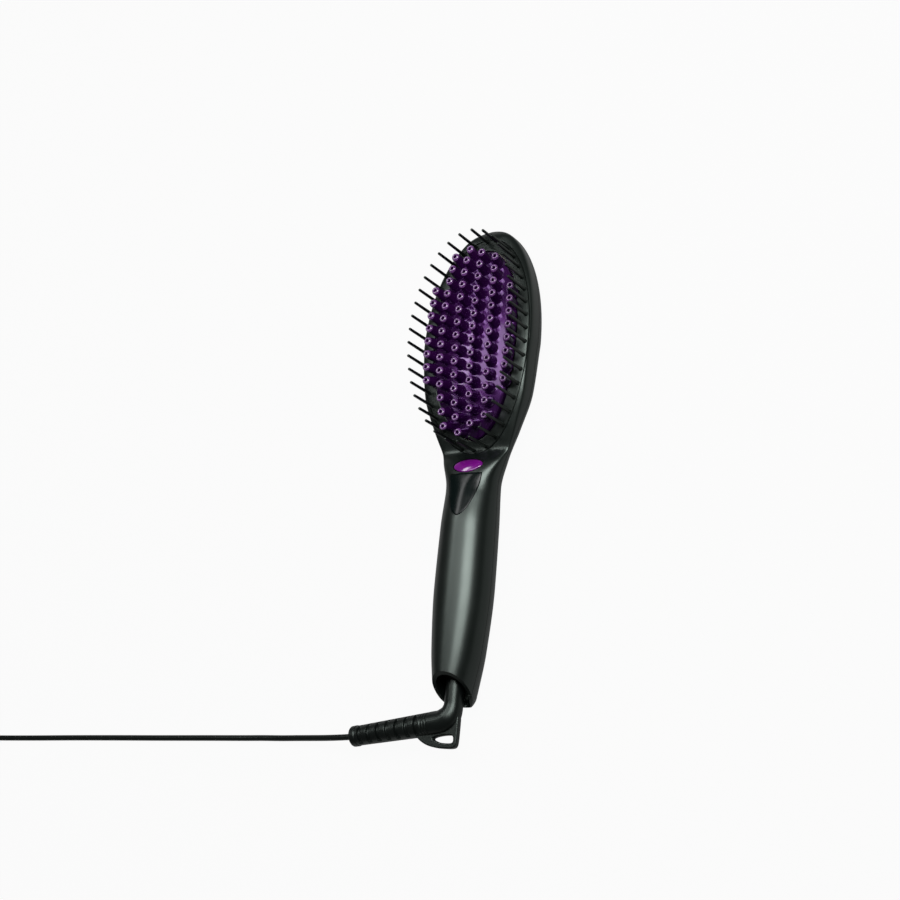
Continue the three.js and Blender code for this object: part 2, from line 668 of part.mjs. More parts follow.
function heaterPlate() {
  const rowAt = (share, height) => oval(PLATE_HALF_WIDTH * share, PLATE_HALF_LENGTH * share, height);
  const middle = (x, y) => plateTop(x, y) - PLATE_WALL / 2;
  const shares = [0.3, 0.7, 0.93];
  const underDome = toSolid(grid([...shares.map((share) => rowAt(share, middle)), rowAt(0.93, () => 0)]));
  const seat = toSolid(packBox(SEAT_WIDTH, SEAT_LENGTH, SEAT_Z, FAR)).intersect(underDome);
  let plate = addAll([plateShell(), seat, ...studPlaces().map(([x, y]) => stud(x, y))]);
  packScrewPlaces.forEach((y) => {
    plate = plate.subtract(toSolid(post(SMALL_SCREW + GAP, 0, y, SEAT_Z - 1, SEAT_Z + 2.5, 8)));
  });
  return plate;
}

// Heat shield: a flange under ring and plate, and a well that holds the heater pack
const shieldTop = (x, y) => crown(y) - RING_THICK - GAP;
const wellTop = (x, y) => shieldTop(x, y) - SHIELD_WELL;
const headPosts = [[-1, -1], [1, -1], [-1, 1], [1, 1]]
  .map(([i, j]) => [i * POST_X, RING_Y + j * POST_Y]);
const LEAD_X = 5;
const LEAD_HOLE_Y = PACK_Y - SEAT_LENGTH / 2 - 3;
const LEAD_RADIUS = 0.9;
function heatShield() {
  const halfX = RING_HALF_WIDTH - SHIELD_MARGIN;
  const halfY = RING_HALF_LENGTH - SHIELD_MARGIN;
  const rowAt = (share, height, drop = 0) => (
    oval(halfX * share, halfY * share, (x, y) => height(x, y) - drop));
  let shield = toSolid(grid([
    rowAt(0.3, wellTop), rowAt(0.74, wellTop), rowAt(0.83, shieldTop),
    rowAt(1, shieldTop), rowAt(1, shieldTop, SHIELD_WALL), rowAt(0.85, shieldTop, SHIELD_WALL),
    rowAt(0.77, wellTop, SHIELD_WALL), rowAt(0.3, wellTop, SHIELD_WALL),
  ]));
  headPosts.forEach(([x, y]) => {
    shield = shield.subtract(toSolid(post(SCREW_RADIUS + GAP, x, y, 0, 40, 8)));
  });
  [-LEAD_X, LEAD_X].forEach((x) => {
    shield = shield.subtract(toSolid(post(LEAD_RADIUS + 0.7, x, LEAD_HOLE_Y, 0, 40, 8)));
  });
  return shield;
}

// Button outline: two arcs that meet in points left and right
function lens(width, rise, dip, grow) {
  const points = [];
  const steps = 9;
  const half = width / 2 + grow;
  for (let k = 0; k < steps; k++) {
    const x = blend(-half, half, k / steps);
    points.push([x, BUTTON_Y + (rise + grow) * Math.sqrt(1 - (x / half) ** 2) - 0.6]);
  }
  for (let k = 0; k < steps; k++) {
    const x = blend(half, -half, k / steps);
    points.push([x, BUTTON_Y - (dip + grow) * (1 - (x / half) ** 2) ** 0.7 - 0.6]);
  }
  return points;
}
const buttonOutline = (grow) => lens(BUTTON_WIDTH, BUTTON_RISE, BUTTON_DIP, grow);
const buttonPrism = (grow, z0, z1) => toSolid(prism(buttonOutline(grow), z0, z1));
const SWITCH_TOP = KEY_BOARD_Z + KEY_BOARD_THICK + GAP + SWITCH_HEIGHT;
const STEM_LOW = SWITCH_TOP + GAP + BUTTON_TRAVEL;
const BUTTON_LOW = STEM_LOW + 0.8;
const FLANGE = 1.3;
function powerButton() {
  const top = buttonPrism(0, BUTTON_LOW, FAR).intersect(outerBody.translate(0, 0, BUTTON_PROUD));
  const flange = buttonPrism(FLANGE, BUTTON_LOW, FAR).intersect(innerBody.translate(0, 0, -GAP));
  const stem = toSolid(post(STEM_RADIUS, 0, BUTTON_Y, STEM_LOW, BUTTON_LOW + 1, 12));
  return addAll([top, flange, stem]);
}

// Inlay panel: a shield that hangs from the button and ends in a rounded point
function inlayOutline(grow) {
  const top = BUTTON_Y - BUTTON_DIP - 1.6 + grow;
  const half = INLAY_WIDTH / 2 + grow;
  const low = top - INLAY_LENGTH - 2 * grow;
  const right = [
    [half, top], [half * 0.94, blend(top, low, 0.25)], [half * 0.79, blend(top, low, 0.51)],
    [half * 0.51, blend(top, low, 0.81)], [half * 0.24, blend(top, low, 0.95)],
  ];
  const left = right.map(([x, y]) => [-x, y]).reverse();
  return [...right, [0, low], ...left];
}
const inlayPrism = (grow) => toSolid(prism(inlayOutline(grow), HANDLE_AXIS, FAR));
const inlayPanel = inlayPrism(0).intersect(outerBody).subtract(outerBody.translate(0, 0, -INLAY_THICK));
const inlayPocket = inlayPrism(GAP).subtract(outerBody.translate(0, 0, -INLAY_THICK - GAP));

// Screw places on the handle's centre line, and the bosses that they join
const handleScrews = [NECK_Y - UPPER_SCREW_FROM_NECK, BUTT_Y + LOWER_SCREW_FROM_BUTT];
const SCREW_SEAT = 4.3;
const SCREW_REACH = 8;

// Shells
function rearShell() {
  const postsInHead = headPosts.map(([x, y]) => {
    const low = Math.min(wellTop(x, y - POST_RADIUS), wellTop(x, y + POST_RADIUS));
    return toSolid(post(POST_RADIUS, x, y, 0.5, low - SHIELD_WALL - GAP, 10));
  });
  const bosses = handleScrews.map((y) => (
    toSolid(post(BOSS_RADIUS, 0, y, 0.5, seamHeight(y, WALL) - GAP / 2, 10))));
  const ribHalf = BOARD_WIDTH * 0.41;
  const boardRibs = [BOARD_LENGTH * 0.15, BOARD_LENGTH * 0.8].map((along) => {
    const y = NECK_Y - BOARD_FROM_NECK - along;
    return toSolid(box(-ribHalf, ribHalf, y - 1, y + 1, WALL / 4, BOARD_Z - GAP));
  });
  const keyPosts = [-0.34, 0.34].map((share) => (
    toSolid(post(2, 0, KEY_BOARD_Y + share * KEY_BOARD_LENGTH, 0.5, KEY_BOARD_Z - GAP, 12))));
  const wall = outerBody.subtract(innerBody).subtract(mouthBore).intersect(underSeam);
  const supports = addAll([...postsInHead, ...bosses, ...boardRibs, ...keyPosts]);
  let shell = supports.intersect(outerBody).add(wall);
  headPosts.forEach(([x, y]) => {
    const top = wellTop(x, y);
    shell = shell.subtract(toSolid(post(SCREW_RADIUS + GAP, x, y, top - SCREW_REACH - 3, top, 8)));
  });
  handleScrews.forEach((y) => {
    shell = shell.subtract(toSolid(post(SCREW_RADIUS + GAP, 0, y, -1, 40, 8)));
    shell = shell.subtract(toSolid(post(SCREW_HEAD_RADIUS + GAP, 0, y, -1, SCREW_SEAT, 16)));
  });
  return shell.subtract(mouthCut());
}
function frontShell() {
  const bosses = handleScrews.map((y) => (
    toSolid(post(BOSS_RADIUS - 0.5, 0, y, seamHeight(y, WALL) + GAP / 2, frontHeight(y) - 1, 10))));
  const clear = GAP * 1.6;
  const openingRow = (height) => oval(RING_HALF_WIDTH + clear, RING_HALF_LENGTH + clear, () => height);
  const opening = toSolid(grid([openingRow(HANDLE_AXIS - RING_THICK * 2), openingRow(FAR)]));
  let shell = outerBody.subtract(innerBody).subtract(mouthBore).intersect(overSeam);
  shell = addAll([shell, ...bosses.map((boss) => boss.intersect(outerBody))]);
  shell = shell.subtract(opening).subtract(buttonPrism(RUNNING, 0, FAR)).subtract(inlayPocket);
  handleScrews.forEach((y) => {
    const low = seamHeight(y, WALL);
    shell = shell.subtract(toSolid(post(SCREW_RADIUS + GAP, 0, y, low - 1, low + SCREW_REACH, 8)));
  });
  return shell.subtract(mouthCut());
}
piece("rear_shell", rearShell(), materials.housing);
piece("front_shell", frontShell(), materials.housing);
ARC_PINS.forEach(([first, last], i) => piece(`guard_ring_${i + 1}`, guardArc(first, last), materials.guard));
piece("heater_plate", heaterPlate(), materials.plate);
piece("heat_shield", heatShield(), materials.inner);
piece("inlay_panel", inlayPanel, materials.inlay);
piece("power_button", powerButton(), materials.button);

// Heater pack
const SHEET_TOP = SEAT_Z - GAP;
const ELEMENT_TOP = SHEET_TOP - SHEET_THICK - GAP;
const PRESSURE_TOP = ELEMENT_TOP - ELEMENT_THICK - GAP;
const PRESSURE_LOW = PRESSURE_TOP - PRESSURE_THICK;
function withPackHoles(form) {
  return packScrewPlaces.reduce(
    (solid, y) => solid.subtract(toSolid(post(SMALL_SCREW + GAP, 0, y, 0, SEAT_Z + 1, 8))), toSolid(form));
}
const sheet = packBox(SEAT_WIDTH - 1, SEAT_LENGTH, SHEET_TOP - SHEET_THICK, SHEET_TOP);
piece("element_insulation", withPackHoles(sheet), materials.film);
const element = packBox(ELEMENT_WIDTH, ELEMENT_LENGTH, ELEMENT_TOP - ELEMENT_THICK, ELEMENT_TOP);
piece("heating_element", element, materials.ceramic);
const pressure = packBox(SEAT_WIDTH - 1, SEAT_LENGTH, PRESSURE_LOW, PRESSURE_TOP);
piece("pressure_plate", withPackHoles(pressure), materials.steel);
packScrewPlaces.forEach((y, i) => {
  const head = toSolid(post(2, 0, y, PRESSURE_LOW - GAP - 1.6, PRESSURE_LOW - GAP, 12));
  const shank = toSolid(post(SMALL_SCREW, 0, y, PRESSURE_LOW - GAP - 0.5, SEAT_Z + 2, 8));
  piece(`pack_screw_${i + 1}`, head.add(shank), materials.steel);
});
const SENSOR_LOW = PRESSURE_LOW - GAP - 1.6;
piece("thermistor", box(-2, 2, PACK_Y - 14, PACK_Y - 10, SENSOR_LOW, PRESSURE_LOW - GAP), materials.black);
const fuse = new THREE.CylinderGeometry(1.2, 1.2, 10, 12);
fuse.rotateZ(Math.PI / 2).translate(0, PACK_Y + 14, PRESSURE_LOW - GAP - 1.2);
piece("thermal_fuse", fuse, materials.steel);

// Screws through the heat shield into the posts of the rear shell
headPosts.forEach(([x, y], i) => {
  const seat = wellTop(x, y) + GAP;
  const head = toSolid(post(SCREW_HEAD_RADIUS, x, y, seat, seat + SCREW_HEAD_HEIGHT - 0.4, 12));
  const shank = toSolid(post(SCREW_RADIUS, x, y, seat - SCREW_REACH - 1, seat + 0.5, 8));
  piece(`head_screw_${i + 1}`, head.add(shank), materials.steel);
});

// Screws from the back through the handle
handleScrews.forEach((y, i) => {
  const top = SCREW_SEAT - GAP;
  const head = toSolid(post(SCREW_HEAD_RADIUS, 0, y, top - SCREW_HEAD_HEIGHT, top, 16));
  const shank = toSolid(post(SCREW_RADIUS, 0, y, top - 1, seamHeight(y, WALL) + SCREW_REACH - 1, 8));
  piece(`handle_screw_${i + 1}`, head.add(shank), materials.steel);
});

// Control board with its parts
const BOARD_TOP = BOARD_Z + BOARD_THICK;
const BOARD_HIGH_Y = NECK_Y - BOARD_FROM_NECK;
const BOARD_LOW_Y = BOARD_HIGH_Y - BOARD_LENGTH;
const RELAY_SPAN = [0.1, 0.35];
const TRANSFORMER_SPAN = [0.47, 0.72];
const REGULATOR_SPAN = [0.83, 0.9];
const CAPACITOR_PLACE = 0.22;
const PART_HEIGHT = 9.5;
const CAPACITOR_RADIUS = 4.4;
function boardBox(x0, x1, [from, to], thick, low = BOARD_TOP + GAP) {
  const along = (share) => blend(BOARD_LOW_Y, BOARD_HIGH_Y, share);
  return box(x0, x1, along(from), along(to), low, low + thick);
}
const board = boardBox(-BOARD_WIDTH / 2, BOARD_WIDTH / 2, [0, 1], BOARD_THICK, BOARD_Z);
const capacitor = post(
  CAPACITOR_RADIUS, BOARD_WIDTH * 0.27, blend(BOARD_LOW_Y, BOARD_HIGH_Y, CAPACITOR_PLACE),
  BOARD_TOP + GAP, BOARD_TOP + GAP + PART_HEIGHT, 16);
piece("control_board", board, materials.board);
piece("relay", boardBox(-BOARD_WIDTH * 0.45, 0, RELAY_SPAN, PART_HEIGHT), materials.black);
piece("film_capacitor", capacitor, materials.film);
const coreHalf = BOARD_WIDTH * 0.36;
const ironCore = boardBox(-coreHalf, coreHalf, TRANSFORMER_SPAN, PART_HEIGHT * 1.15);
piece("transformer", ironCore, materials.brass);
const chipHalf = BOARD_WIDTH * 0.14;
piece("regulator", boardBox(-chipHalf, chipHalf, REGULATOR_SPAN, PART_HEIGHT * 0.4), materials.black);

// Key board under the button, with the switch, the return spring and the light
const KEY_TOP = KEY_BOARD_Z + KEY_BOARD_THICK;
const keyHalf = KEY_BOARD_WIDTH / 2;
const keyLow = KEY_BOARD_Y - KEY_BOARD_LENGTH / 2;
const keyHigh = KEY_BOARD_Y + KEY_BOARD_LENGTH / 2;
piece("key_board", box(-keyHalf, keyHalf, keyLow, keyHigh, KEY_BOARD_Z, KEY_TOP), materials.board);
const onKeyBoard = KEY_TOP + GAP;
const half = SWITCH_SIZE / 2;
const tactSwitch = box(-half, half, BUTTON_Y - half, BUTTON_Y + half, onKeyBoard, SWITCH_TOP);
piece("tact_switch", tactSwitch, materials.black);
const SPRING_INNER = 3.5;
const SPRING_OUTER = 4.4;
const springHeight = BUTTON_LOW - BUTTON_TRAVEL - GAP - onKeyBoard;
const springProfile = [
  [SPRING_INNER, 0], [SPRING_OUTER, 0], [SPRING_OUTER, springHeight], [SPRING_INNER, springHeight],
  [SPRING_INNER, 0],
];
const spring = new THREE.LatheGeometry(springProfile.map(([r, h]) => new THREE.Vector2(r, h)), 16);
spring.rotateX(Math.PI / 2).translate(0, BUTTON_Y, onKeyBoard);
piece("return_spring", spring, materials.steel);
const LIGHT_HALF = 1.2;
const lightLow = keyLow + 1;
const lightHigh = lightLow + LIGHT_HALF * 2;
const light = box(-LIGHT_HALF, LIGHT_HALF, lightLow, lightHigh, onKeyBoard, onKeyBoard + 2);
piece("status_light", light, materials.light);

// Cord swivel: end cap, bush, core, slip rings and the contact plate
const capBody = innerBody.intersect(toSolid(box(-FAR, FAR, CAP_Y, CAP_Y + CAP_THICK, 0, FAR)));
const capScale = 1 - GAP / (halfWidth(CAP_Y) - WALL);
const capSolid = capBody.translate(0, 0, -HANDLE_AXIS).scale([capScale, 1, capScale])
  .translate(0, 0, HANDLE_AXIS);
const bushSeat = toSolid(axle(BUSH_RADIUS + GAP, CAP_Y - 1, CAP_Y + CAP_THICK + 1));
piece("end_cap", capSolid.subtract(bushSeat), materials.black);
const BUSH_LOW = CAP_Y - 0.8;
const BUSH_STEP = CAP_Y + CAP_THICK + GAP;
const BUSH_HIGH = BUSH_STEP + 1.5;
const bushHole = toSolid(axle(SWIVEL_RADIUS + GAP, BUSH_LOW - 1, BUSH_HIGH + 1));
const bushBody = toSolid(axle(BUSH_RADIUS, BUSH_LOW, BUSH_STEP + 0.5));
const bush = bushBody.add(toSolid(axle(BUSH_FLANGE, BUSH_STEP, BUSH_HIGH)));
piece("swivel_bush", bush.subtract(bushHole), materials.black);
const COLLAR_LOW = BUSH_HIGH + GAP;
const COLLAR_HIGH = COLLAR_LOW + 2;
const CORE_LOW = CAP_Y - 2.5;
const RING_A = COLLAR_HIGH + 1.2;
const RING_B = RING_A + RING_CONTACT_WIDTH + 2;
const CORE_HIGH = RING_B + RING_CONTACT_WIDTH + 1.4;
const core = addAll([
  toSolid(axle(SWIVEL_RADIUS, CORE_LOW, COLLAR_LOW + 0.5)),
  toSolid(axle(SWIVEL_COLLAR, COLLAR_LOW, COLLAR_HIGH)),
  toSolid(axle(SWIVEL_JOURNAL, COLLAR_HIGH - 0.5, CORE_HIGH)),
]);
piece("swivel_core", core, materials.black);
[RING_A, RING_B].forEach((y, i) => {
  const ring = collar(RING_CONTACT_RADIUS, SWIVEL_JOURNAL + GAP, y, y + RING_CONTACT_WIDTH);
  piece(`slip_ring_${"ab"[i]}`, ring, materials.brass);
});
const CONTACT_TOP = HANDLE_AXIS - RING_CONTACT_RADIUS - GAP;
const CONTACT_HALF = 6;
const FINGER_HALF = 4;
const FINGER_INSET = 0.6;
const contactBase = box(-CONTACT_HALF, CONTACT_HALF, RING_A - 1, CORE_HIGH, WALL * 1.8, CONTACT_TOP - 2);
const fingers = [RING_A, RING_B].map((y) => toSolid(box(
  -FINGER_HALF, FINGER_HALF, y + FINGER_INSET, y + RING_CONTACT_WIDTH - FINGER_INSET, CONTACT_TOP - 3,
  CONTACT_TOP)));
const cradle = innerBody.translate(0, 0, GAP);
piece("contact_plate", addAll([toSolid(contactBase), ...fingers]).intersect(cradle), materials.brass);

// Leads inside the housing: from the contact plate to the board, and from the board under the key
// board and up through the heat shield to the element
const leadForm = (points, steps) => tube(points, LEAD_RADIUS, 6, steps);
const BOARD_LEAD_X = 7;
const boardLeadZ = BOARD_Z + BOARD_THICK / 2;
const underKeyZ = KEY_BOARD_Z - 2.6;
const elementEnd = PACK_Y - ELEMENT_LENGTH / 2 - GAP;
const elementMid = ELEMENT_TOP - ELEMENT_THICK / 2;
["a", "b"].forEach((label, i) => {
  const side = i === 0 ? -1 : 1;
  const x = side * BOARD_LEAD_X;
  const mains = [
    [x, CORE_HIGH + GAP, CONTACT_TOP - 4],
    [x * 1.05, CORE_HIGH + 5, CONTACT_TOP - 1.5],
    [x, BOARD_LOW_Y - 4, boardLeadZ],
    [x, BOARD_LOW_Y - GAP, boardLeadZ],
  ];
  piece(`mains_lead_${label}`, leadForm(mains, 6), materials.rubber);
  const up = side * LEAD_X;
  const heat = [
    [x, BOARD_HIGH_Y + GAP, boardLeadZ],
    [x, BOARD_HIGH_Y + 4, boardLeadZ - 0.6],
    [x, NECK_Y - 5, underKeyZ],
    [x, NECK_Y + 8, underKeyZ],
    [x, VALLEY_Y, underKeyZ],
    [up, LEAD_HOLE_Y - 6, underKeyZ],
    [up, LEAD_HOLE_Y - 0.4, underKeyZ + 3],
    [up, LEAD_HOLE_Y, BOARD_Z + 2.5],
    [up, LEAD_HOLE_Y, PRESSURE_LOW - 1.8],
    [up, LEAD_HOLE_Y + 0.5, PRESSURE_TOP],
    [up, LEAD_HOLE_Y + 2.4, elementMid],
    [up, elementEnd, elementMid],
  ];
  piece(`heater_lead_${label}`, leadForm(heat, 15), materials.rubber);
});

// Strain relief: the stub turns into a ribbed boot, and a flat loop hangs on the elbow
const STUB_LOW = CORE_LOW - GAP;
const ELBOW_Y = BOOT_END.y + ELBOW_FROM_END;
const bootStart = new THREE.Vector3(BOOT_START_X, BOOT_END.y + BOOT_SLANT, HANDLE_AXIS);
function bootPath() {
  const points = [new THREE.Vector3(0, STUB_LOW, HANDLE_AXIS)];
  const bend = new THREE.CubicBezierCurve3(
    new THREE.Vector3(0, ELBOW_Y, HANDLE_AXIS),
    new THREE.Vector3(0, ELBOW_Y - ELBOW_REACH, HANDLE_AXIS),
    bootStart.clone().sub(BOOT_END).setLength(ELBOW_REACH * 0.67).add(bootStart),
    bootStart);
  points.push(...bend.getPoints(7));
  const radii = points.map((_, i) => blend(SWIVEL_RADIUS, BOOT_ROOT_RADIUS, smooth(i / 4)));
  const length = bootStart.distanceTo(BOOT_END);
  const stepAt = (fromEnd, radius) => {
    points.push(BOOT_END.clone().lerp(bootStart, fromEnd / length));
    radii.push(radius);
  };
  const bodyRadius = (fromEnd) => blend(BOOT_END_RADIUS, BOOT_ROOT_RADIUS, fromEnd / length);
  for (let g = GROOVE_COUNT - 1; g >= 0; g--) {
    const place = GROOVE_FROM_END + g * GROOVE_PITCH;
    const half = GROOVE_PITCH * 0.19;
    const soft = GROOVE_PITCH * 0.1;
    stepAt(place + half + soft, bodyRadius(place));
    stepAt(place + half, bodyRadius(place) - GROOVE_DEPTH);
    stepAt(place - half, bodyRadius(place) - GROOVE_DEPTH);
    stepAt(place - half - soft, bodyRadius(place));
  }
  stepAt(0.8, BOOT_END_RADIUS);
  stepAt(0, BOOT_END_RADIUS - 0.8);
  return { points, radii };
}

// The loop is a flat web with a rounded corner, and its hole follows its lower edge
const LOOP_BOTTOM = BOOT_END.y - LOOP_DROP;
const holeRight = LOOP_RIGHT - LOOP_BAR;
const holeBottom = LOOP_BOTTOM + LOOP_BAR;
const holeTop = holeBottom + LOOP_HOLE_WIDTH;
function loopWeb() {
  const shape = new THREE.Shape();
  shape.moveTo(LOOP_RIGHT, ELBOW_Y - LOOP_DROP);
  shape.lineTo(LOOP_RIGHT, LOOP_BOTTOM + LOOP_CORNER);
  shape.quadraticCurveTo(LOOP_RIGHT, LOOP_BOTTOM, LOOP_RIGHT - LOOP_CORNER * 1.6, LOOP_BOTTOM);
  shape.quadraticCurveTo(-LOOP_REACH * 0.62, LOOP_BOTTOM, -LOOP_REACH, LOOP_BOTTOM + LOOP_REACH * 0.4);
  shape.lineTo(-LOOP_REACH * 0.3, ELBOW_Y - LOOP_DROP * 1.2);
  return shape.getPoints(4).map((p) => [p.x, p.y]);
}
function loopHole() {
  const shape = new THREE.Shape();
  shape.moveTo(holeRight, holeTop);
  shape.lineTo(holeRight, holeBottom + LOOP_BAR * 0.15);
  shape.lineTo(holeRight - LOOP_BAR * 0.2, holeBottom);
  shape.lineTo(0, holeBottom);
  const holeMiddle = (holeBottom + holeTop) / 2;
  shape.quadraticCurveTo(-LOOP_HOLE_REACH * 0.6, holeBottom, -LOOP_HOLE_REACH, holeMiddle);
  shape.quadraticCurveTo(-LOOP_HOLE_REACH * 0.4, holeTop, 0, holeTop);
  return shape.getPoints(3).map((p) => [p.x, p.y]);
}
const { points: bootPoints, radii: bootRadii } = bootPath();
const [webLow, webHigh] = [HANDLE_AXIS - LOOP_THICK / 2, HANDLE_AXIS + LOOP_THICK / 2];
const web = toSolid(prism(loopWeb(), webLow, webHigh));
const throughHole = toSolid(prism(loopHole(), 0, FAR));
const boot = toSolid(sweep(bootPoints, bootRadii, 10));
piece("strain_relief", boot.add(web).subtract(throughHole), materials.rubber);

// Free cord: the lead along the floor
const COIL_LOW = TIE_THICK + GAP + CORD_RADIUS;
const STRAIGHT = CORD_DIAMETER;
const leadEnd = [
  [COIL_X + STRAIGHT + GAP + 4, COIL_Y - COIL_OUTER, COIL_LOW],
  [COIL_X + STRAIGHT + GAP, COIL_Y - COIL_OUTER, COIL_LOW],
];
const lead = tube([...LEAD_ROUTE, ...leadEnd], CORD_RADIUS, LEAD_SIDES, LEAD_STEPS);
piece("cord_lead", lead, materials.rubber);

// The stored coil: it spirals in and out again, and climbs a layer where the spiral reverses
const PLUG_Z = COIL_LOW + (COIL_LAYERS - 1) * COIL_LAYER + CORD_RADIUS + GAP + PLUG_THICK / 2;
const spiralTurns = TURNS_PER_LAYER - CLIMB_TURNS;
const COIL_INNER = COIL_OUTER - COIL_PITCH * spiralTurns;
function coilAt(turn) {
  const layer = Math.min(COIL_LAYERS - 1, Math.floor(turn / TURNS_PER_LAYER));
  const inLayer = turn - layer * TURNS_PER_LAYER;
  const spiral = Math.min(inLayer, spiralTurns) * COIL_PITCH;
  const radius = layer % 2 === 0 ? COIL_OUTER - spiral : COIL_INNER + spiral;
  const climb = Math.max(0, inLayer - spiralTurns) / CLIMB_TURNS;
  const low = COIL_LOW + layer * COIL_LAYER;
  const high = layer === COIL_LAYERS - 1 ? PLUG_Z : low + COIL_LAYER;
  const angle = -Math.PI / 2 - turn * 2 * Math.PI;
  return new THREE.Vector3(COIL_X + radius * Math.cos(angle), COIL_Y + radius * Math.sin(angle),
    blend(low, high, climb));
}
function coilPoints() {
  const turns = COIL_LAYERS * TURNS_PER_LAYER;
  const count = Math.round(turns * LOOP_STEPS);
  const points = [new THREE.Vector3(COIL_X + STRAIGHT, COIL_Y - COIL_OUTER, COIL_LOW)];
  for (let k = 0; k <= count; k++) points.push(coilAt(k / LOOP_STEPS));
  const end = points[points.length - 1];
  const arcSteps = 5;
  for (let k = 1; k <= arcSteps; k++) {
    const angle = k / arcSteps * Math.PI / 2;
    points.push(new THREE.Vector3(end.x - PLUG_TURN_RADIUS * Math.sin(angle),
      end.y + PLUG_TURN_RADIUS * (1 - Math.cos(angle)), PLUG_Z));
  }
  const last = points[points.length - 1];
  points.push(last.clone().add(new THREE.Vector3(0, STRAIGHT, 0)));
  return points;
}
const coil = coilPoints();
const coilRadii = coil.map(() => CORD_RADIUS);
piece("cord_coil", sweep(coil, coilRadii, COIL_SIDES), materials.rubber);

// The least distance from the coil's line to itself, less one diameter
function leastCoilGap(points) {
  const apart = LOOP_STEPS / 2;
  let least = Infinity;
  for (let i = 0; i < points.length; i++) {
    for (let j = i + apart; j < points.length - 1; j++) {
      const stretch = new THREE.Line3(points[j], points[j + 1]);
      const near = stretch.closestPointToPoint(points[i], true, new THREE.Vector3());
      least = Math.min(least, near.distanceTo(points[i]));
    }
  }
  return least - CORD_DIAMETER;
}
function lineLength(points) {
  return points.slice(1).reduce((sum, point, i) => sum + point.distanceTo(points[i]), 0);
}
console.log("coil: least gap", leastCoilGap(coil).toFixed(3), "length", lineLength(coil).toFixed(1));

// Tie round the coil's turns
function tieRow(grow, along) {
  const low = COIL_LOW - CORD_RADIUS - GAP;
  const high = COIL_LOW + (COIL_LAYERS - 1) * COIL_LAYER + CORD_RADIUS + 3.2;
  const near = COIL_INNER - CORD_RADIUS - GAP;
  const far = COIL_OUTER + CORD_RADIUS + GAP;
  const corners = [
    [near - grow, low - grow], [far + grow, low - grow],
    [far + grow, high + grow], [near - grow, high + grow],
  ];
  const turn = new THREE.Vector3(0, 0, 1);
  return corners.map(([r, z]) => new THREE.Vector3(r, along, z).applyAxisAngle(turn, TIE_ANGLE)
    .add(new THREE.Vector3(COIL_X, COIL_Y, 0)));
}
const halfTie = TIE_WIDTH / 2;
const tie = grid([
  tieRow(0, -halfTie), tieRow(TIE_THICK, -halfTie), tieRow(TIE_THICK, halfTie), tieRow(0, halfTie),
], true);
piece("cord_tie", tie, materials.rubber);

// Plug that lies on the coil
const PLUG_X = COIL_X - PLUG_TURN_RADIUS;
const PLUG_LOW_Y = coil[coil.length - 1].y + GAP;
function plugBody() {
  const stage = (along, width, thick) => Array.from({ length: 12 }, (_, s) => {
    const angle = s / 12 * 2 * Math.PI;
    const [c, d] = [Math.cos(angle), Math.sin(angle)];
    return new THREE.Vector3(PLUG_X + width / 2 * Math.sign(c) * Math.abs(c) ** 0.6, PLUG_LOW_Y + along,
      PLUG_Z + thick / 2 * Math.sign(d) * Math.abs(d) ** 0.6);
  });
  return grid([
    stage(0, 7, 7), stage(9, 9, 8.5), stage(13, 15, 11), stage(22, 23, PLUG_THICK),
    stage(PLUG_LENGTH - 2, PLUG_WIDTH, PLUG_THICK), stage(PLUG_LENGTH, PLUG_WIDTH - 2, PLUG_THICK - 2),
  ]);
}
piece("plug_body", plugBody(), materials.rubber);
const PLUG_FACE = PLUG_LOW_Y + PLUG_LENGTH + GAP;
[-1, 1].forEach((side, i) => {
  const radii = [PLUG_PIN_RADIUS, PLUG_PIN_RADIUS, PLUG_PIN_RADIUS * 0.6];
  const along = [0, PLUG_PIN_LENGTH - 1.5, PLUG_PIN_LENGTH];
  const line = along.map((a) => new THREE.Vector3(PLUG_X + side * PLUG_PIN_PITCH / 2, PLUG_FACE + a, PLUG_Z));
  piece(`plug_pin_${"ab"[i]}`, sweep(line, radii, 12), materials.steel);
});

export default brush;
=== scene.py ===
"""The looks of a hair straightening brush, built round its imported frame. Sizes are in millimetres."""
import json
import math

import bpy
import numpy as np
from mathutils import Matrix, Vector


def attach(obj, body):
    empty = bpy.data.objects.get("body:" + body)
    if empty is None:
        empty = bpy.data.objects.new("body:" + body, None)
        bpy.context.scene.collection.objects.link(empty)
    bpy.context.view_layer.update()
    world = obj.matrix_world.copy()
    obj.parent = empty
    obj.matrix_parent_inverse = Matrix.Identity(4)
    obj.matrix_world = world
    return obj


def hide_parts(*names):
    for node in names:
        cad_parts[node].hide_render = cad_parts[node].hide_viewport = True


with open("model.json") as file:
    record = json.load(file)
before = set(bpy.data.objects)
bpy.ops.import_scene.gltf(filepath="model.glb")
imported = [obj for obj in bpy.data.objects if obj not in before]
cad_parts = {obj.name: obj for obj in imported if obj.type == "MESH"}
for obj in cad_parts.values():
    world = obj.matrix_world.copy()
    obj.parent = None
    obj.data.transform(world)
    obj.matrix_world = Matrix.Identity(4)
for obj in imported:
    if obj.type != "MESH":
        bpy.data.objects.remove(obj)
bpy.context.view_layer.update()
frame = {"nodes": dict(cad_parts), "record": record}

MM = 0.001

# Camera, fitted to the photograph
VIEW_TURN = math.radians(33.0)
VIEW_TILT = math.radians(16.64)
VIEW_LEAN = math.radians(5.46)
VIEW_DISTANCE = 900.0
VIEW_TARGET = np.array([-20.74, 7.61, 13.0])
VIEW_LENS = 59.67
VIEW_SENSOR = 36.0

